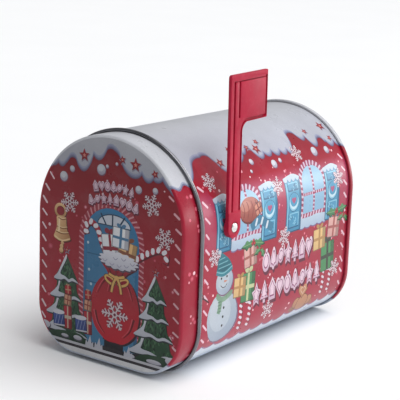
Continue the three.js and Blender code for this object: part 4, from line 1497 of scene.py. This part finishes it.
def build_barrel():
    """The wall with its neck, flange and rivet hole, its two prints and its lock seam."""
    outer = -UNDER_FILM
    front, rear = NECK_STEP
    neck = rounded([(NECK_FRONT, NECK_OFFSET), (front, NECK_OFFSET), (rear, outer), (FLANGE_FRONT, outer)],
                   NECK_BEND, 4, closed=False)
    inside = rounded([(FLANGE_FRONT, -SHEET), (rear, -SHEET), (front, NECK_OFFSET - SHEET),
                      (NECK_FRONT, NECK_OFFSET - SHEET)], NECK_BEND, 4, closed=False)
    flange = [(FLANGE_FRONT, FLANGE_TOP), (FLANGE_REAR, FLANGE_TOP), (FLANGE_REAR, -SHEET)]
    profile = list(neck) + flange + list(inside)[1:]
    shell = new_object("barrel_shell", *sweep(profile, closed=True))
    low, high = HALF_WIDTH - 2, HALF_WIDTH + 1
    hole = lathe("hole", [(0, low), (HOLE_RADIUS, low), (HOLE_RADIUS, high), (0, high)])
    combine(shell, hole, "DIFFERENCE")
    shell.data.set_sharp_from_angle(angle=SHARP_ANGLE)
    finish_piece(shell, "tin", "barrel", BARREL_TIN)
    for side, name in ((1, "barrel_print_right"), (-1, "barrel_print_left")):
        skin = print_on(name, side_art(rivet_hole=side > 0), on_side(side), PRINT)
        finish_piece(skin, "tin")
    # the folded lock seam along the inside of the floor
    ridge = rounded([(-LOCK_SEAM_HALF, LOCK_SEAM_LOW), (LOCK_SEAM_HALF, LOCK_SEAM_LOW),
                     (LOCK_SEAM_HALF, LOCK_SEAM_HIGH), (-LOCK_SEAM_HALF, LOCK_SEAM_HIGH)], 0.25, 3)
    seam = prism("lock_seam", ridge, rear, LOCK_SEAM_REAR)
    finish_piece(seam, "tin", None, BARREL_TIN)


def build_lid():
    """The lid with its small bend, skirt and rolled edge, and the prints on its face and edge."""
    outer = -LID_INSET - UNDER_FILM
    inner = -LID_INSET - SHEET
    quarter = math.pi / 2

    def edge(radius, angle):
        """A point of the bend between the lid's face and its skirt."""
        y = LID_FRONT + LID_EDGE_RADIUS - radius * math.cos(angle)
        return (y, -LID_INSET - LID_EDGE_RADIUS + radius * math.sin(angle))

    def roll(radius, angle):
        """A point of the rolled edge."""
        return (radius * math.sin(angle), inner + CURL_RADIUS - radius * math.cos(angle))

    profile = [edge(LID_EDGE_RADIUS - SHEET, a) for a in np.linspace(0, quarter, 9)]
    profile += [roll(CURL_RADIUS, a) for a in np.linspace(0, CURL_TURN, 25)]
    profile += [roll(CURL_RADIUS - SHEET, a) for a in np.linspace(CURL_TURN, 0, 25)][:-1]
    profile += [(0, outer)]
    profile += [edge(LID_EDGE_RADIUS - UNDER_FILM, a) for a in np.linspace(quarter, 0, 9)]
    shell = new_object("lid_shell", *sweep(profile, closed=False))
    finish_piece(shell, "lid", "front_lid", DARK_PAINTED_TIN)
    face = print_on("lid_print_face", lid_art(), on_lid_face, LID_PRINT)
    finish_piece(face, "lid")
    path = [edge(LID_EDGE_RADIUS, a) for a in np.linspace(0, quarter, 9)]
    path += [(-9, -LID_INSET), (LID_PRINT_END, -LID_INSET)]
    strip = print_strip("lid_print_edge", path, 1, True, LID_PRINT)
    finish_piece(strip, "lid")


def build_rear_panel():
    """The countersunk panel with its seam hook and coin slot, and its two prints."""
    under = UNDER_FILM
    wall_in = PANEL_WALL + SHEET
    front = BARREL_REAR - SEAM_WIDTH
    rear_side = rounded([(PANEL_FACE - under, -5), (PANEL_FACE - under, PANEL_WALL - under),
                         (BARREL_REAR - under, PANEL_WALL - under),
                         (BARREL_REAR - under, RIM_PROUD - under), (front + under, RIM_PROUD - under),
                         (front + under, SEAM_END)], [0, PANEL_BEND, 0.3, 0.5, 0.5, 0], 5, closed=False)
    front_side = rounded([(front + SHEET, SEAM_END), (front + SHEET, RIM_PROUD - SHEET),
                          (BARREL_REAR - SHEET, RIM_PROUD - SHEET), (BARREL_REAR - SHEET, wall_in),
                          (PANEL_FACE - SHEET, wall_in), (PANEL_FACE - SHEET, -5)],
                         [0, 0.2, 0.2, 0.2, 0.6, 0], 4, closed=False)
    offsets = np.linspace(PANEL_INNER - PANEL_SLOPE, PANEL_INNER, 6)
    slope = [(PANEL_FACE + float(panel_height(np.array(o))), o) for o in offsets]
    profile = [(y - under, o) for y, o in slope] + list(rear_side)[1:]
    profile += list(front_side)[:-1] + [(y - SHEET, o) for y, o in reversed(slope)]
    panel = new_object("rear_panel_shell", *sweep(profile, closed=False))
    combine(panel, prism("slot_cutter", slot_shape(), PANEL_FACE - 3, PANEL_FACE + 3), "DIFFERENCE")
    panel.data.set_sharp_from_angle(angle=SHARP_ANGLE)
    finish_piece(panel, "tin", "rear_panel", DARK_PAINTED_TIN)
    face = print_on("rear_print_face", rear_art(), on_rear_panel, PANEL_PRINT)
    finish_piece(face, "tin")
    path = rounded([(PANEL_FACE, PANEL_WALL - PANEL_BEND), (PANEL_FACE, PANEL_WALL),
                    (BARREL_REAR, PANEL_WALL), (BARREL_REAR, RIM_PROUD), (front, RIM_PROUD),
                    (front, SEAM_END + under)], [0, PANEL_BEND, 0.35, 0.55, 0.55, 0], 6, closed=False)
    strip = print_strip("rear_print_seam", path, -1, False, PANEL_PRINT)
    finish_piece(strip, "tin")


def flag_outline():
    """The upright flag's y, z outline, with the rivet at 0, 0."""
    corners = [(-POLE_HALF, 0), (POLE_HALF, 0), (POLE_HALF, PLATE_BOTTOM), (PLATE_RIGHT, PLATE_BOTTOM),
               (PLATE_RIGHT, FLAG_TOP), (-POLE_HALF, FLAG_TOP)]
    return rounded(corners, [0, 0, PLATE_FILLET, 0.6, 0.6, 1.6], 8)


def flag_grooves():
    """Outlines of the grooves in the flag's face."""
    half = GROOVE_WIDTH / 2
    front = POLE_BORDER - POLE_HALF + half
    rear = POLE_HALF - THIN_LIP - half
    right = PLATE_RIGHT - THIN_LIP - half
    top = FLAG_TOP - POLE_BORDER - half
    low = PLATE_BOTTOM + THIN_LIP + half
    panel = front + GROOVE_WIDTH + POLE_RIB
    first = np.array([(front, BOSS_TOP - 0.5), (front, top)])
    second = rounded([(rear, BOSS_TOP - 0.5), (rear, low), (right, low), (right, top + half)],
                     [0, PLATE_FILLET + THIN_LIP + half, 0.9, 0], 10, closed=False)
    third = np.array([(panel, low + GROOVE_WIDTH), (panel, top - 0.4)])
    level = np.array([(front, top - 0.4), (right, top - 0.4)])
    return [ribbon(first, GROOVE_WIDTH), ribbon(second, GROOVE_WIDTH), ribbon(third, GROOVE_WIDTH),
            ribbon(level, 0.6)]


def build_flag():
    """The moulded flag with its boss, grooves and counterbore, leaning towards the lid."""
    flag = plate("flag_body", flag_outline(), FLAG_BACK, FLAG_FACE, FLAG_EDGE, FLAG_EDGE)
    for groove in flag_grooves():
        combine(flag, plate("groove", groove, FLAG_FACE - GROOVE_DEPTH, FLAG_FACE + 1), "DIFFERENCE")
    combine(flag, plate("boss", circle(0, 0, BOSS_RADIUS, 64), BOSS_BACK, BOSS_FACE, 0.4, 0.2), "UNION")
    neck = rounded([(-POLE_HALF, 0), (POLE_HALF, 0), (POLE_HALF, BOSS_TOP), (-POLE_HALF, BOSS_TOP)],
                   [0, 0, 0.3, 0.3], 4)
    combine(flag, plate("boss_neck", neck, FLAG_BACK + 0.2, BOSS_FACE, FLAG_EDGE), "UNION")
    combine(flag, plate("hole", circle(0, 0, HOLE_RADIUS, 48), BOSS_BACK - 1, BOSS_FACE + 1), "DIFFERENCE")
    recess = circle(0, 0, COUNTERBORE_RADIUS, 48)
    counterbore = plate("counterbore", recess, BOSS_FACE - COUNTERBORE_DEPTH, BOSS_FACE + 1)
    combine(flag, counterbore, "DIFFERENCE")
    axis = Vector(place((0, 0, 0)))
    at_rivet = Matrix.Translation(Vector(place((0, RIVET_Y, RIVET_Z))))
    lean = Matrix.Rotation(math.radians(FLAG_LEAN), 4, "X")
    flag.data.transform(at_rivet @ lean @ Matrix.Translation(-axis))
    bevel = flag.modifiers.new("edges", "BEVEL")
    bevel.width = 0.12 * MM
    bevel.segments = 2
    bevel.limit_method = "ANGLE"
    bevel.angle_limit = math.radians(60)
    apply_modifiers(flag)
    flag.data.shade_smooth()
    flag.data.set_sharp_from_angle(angle=math.radians(32))
    finish_piece(flag, "flag", "flag", FLAG_RED)


def build_rivet():
    """The rivet and its two washers."""
    seat, edge, rise, curl = RIVET_SEAT, 0.2, 0.8, 0.3
    angles = np.linspace(0, math.pi / 2, 12)[:-1]
    foot = [(0, RIVET_BORE_END), (RIVET_BORE, RIVET_BORE_END), (RIVET_BORE, FOOT_LOW + curl),
            (RIVET_BORE + curl, FOOT_LOW), (RIVET_FOOT - curl, FOOT_LOW), (RIVET_FOOT, FOOT_LOW + curl),
            (RIVET_FOOT, FOOT_HIGH - curl / 2), (RIVET_FOOT - 0.2, FOOT_HIGH), (RIVET_SHANK, FOOT_HIGH)]
    head = [(RIVET_SHANK, seat), (RIVET_HEAD - 0.15, seat), (RIVET_HEAD, seat + 0.12)]
    dome = [(RIVET_HEAD * math.cos(a), seat + edge + rise * math.sin(a)) for a in angles]
    profile = foot + head + dome + [(0, seat + edge + rise)]
    finish_piece(lathe("rivet", profile), "tin", "flag_rivet", RIVET_METAL)
    for name, radius, low, high, node in (("spacer_washer", 4.4, 51.3, 51.8, "flag_spacer"),
                                          ("inner_washer", 3.2, 49.6, 50.2, "rivet_washer")):
        inner = radius - WASHER_EDGE
        profile = [(HOLE_RADIUS, low), (inner, low), (radius, low + WASHER_EDGE),
                   (radius, high - WASHER_EDGE), (inner, high), (HOLE_RADIUS, high)]
        finish_piece(lathe(name, profile), "tin", node, WASHER_METAL)


build_barrel()
build_lid()
build_rear_panel()
build_flag()
build_rivet()

# ---------------------------------------------------------------- floor, light and camera

CAMERA_AZIMUTH = 35.55
CAMERA_ELEVATION = 12.92
CAMERA_ROLL = 2.06
CAMERA_LENS = 114.94
CAMERA_PLACE = (423.8, -524.16, 247.23)


def build_floor():
    """The pale ground that the tin stands on."""
    mesh = bpy.data.meshes.new("floor")
    half = 12.0
    mesh.from_pydata([(-half, -half, 0), (half, -half, 0), (half, half, 0), (-half, half, 0)], [],
                     [(0, 1, 2, 3)])
    floor = in_scene("floor", mesh)
    material, tree, shader = new_material("floor")
    colour = mixed(tree, (0.95, 0.95, 0.955, 1), (0.92, 0.92, 0.925, 1), noise(tree, 6, 3))
    tree.links.new(colour, shader.inputs["Base Color"])
    shader.inputs["Roughness"].default_value = 0.9
    mesh.materials.append(material)


def add_light(name, place_at, size, power):
    """A rectangular light that faces the tin."""
    light = bpy.data.lights.new(name, "AREA")
    light.shape = "RECTANGLE"
    light.size, light.size_y = size
    light.energy = power
    lamp = in_scene(name, light)
    lamp.location = place_at
    lamp.rotation_euler = (Vector((0, 0, 0.07)) - Vector(place_at)).to_track_quat("-Z", "Y").to_euler()


def build_world():
    """Soft light from all round."""
    world = bpy.data.worlds.new("studio")
    world.use_nodes = True
    tree = world.node_tree
    background = tree.nodes["Background"]
    # darker on the camera's side of the room, brighter towards the windows
    direction = add_node(tree, "ShaderNodeTexCoord").outputs["Generated"]
    parts = add_node(tree, "ShaderNodeSeparateXYZ", Vector=direction)
    sideways = ranged(tree, parts.outputs["X"], 0.25, 0.75, -0.8, 0.9)
    depth = ranged(tree, parts.outputs["Y"], 0.45, 1.15, -0.9, 0.6)
    strength = add_node(tree, "ShaderNodeMath", {"operation": "MULTIPLY"})
    tree.links.new(sideways, strength.inputs[0])
    tree.links.new(depth, strength.inputs[1])
    tree.links.new(strength.outputs[0], background.inputs["Strength"])
    background.inputs["Color"].default_value = (0.96, 0.98, 1.0, 1)
    bpy.context.scene.world = world


def add_sun(strength, towards, angle):
    """Soft light from a wide patch of sky, angle degrees across."""
    light = bpy.data.lights.new("skylight", "SUN")
    light.energy = strength
    light.angle = math.radians(angle)
    in_scene("skylight", light).rotation_euler = Vector(towards).to_track_quat("Z", "Y").to_euler()


def build_camera():
    """The camera, placed from its azimuth, elevation and roll in degrees."""
    azimuth, elevation, roll = map(math.radians, (CAMERA_AZIMUTH, CAMERA_ELEVATION, CAMERA_ROLL))
    forward = Vector((-math.sin(azimuth) * math.cos(elevation), math.cos(azimuth) * math.cos(elevation),
                      -math.sin(elevation)))
    level = Vector((math.cos(azimuth), math.sin(azimuth), 0))
    upright = level.cross(forward)
    right = level * math.cos(roll) + upright * math.sin(roll)
    up = upright * math.cos(roll) - level * math.sin(roll)
    camera = bpy.data.cameras.new("camera")
    camera.sensor_width = 36
    camera.lens = CAMERA_LENS
    holder = in_scene("camera", camera)
    turn = Matrix((right, up, -forward)).transposed().to_4x4()
    holder.matrix_world = Matrix.Translation(Vector(place(CAMERA_PLACE))) @ turn
    bpy.context.scene.camera = holder


build_floor()
build_world()
add_sun(strength=2.3, towards=(0.45, 0.1, 0.88), angle=60)
add_light("window", place_at=(1.2, 1.9, 0.3), size=(1.6, 0.4), power=9)
build_camera()
bpy.context.scene.view_settings.view_transform = "Standard"
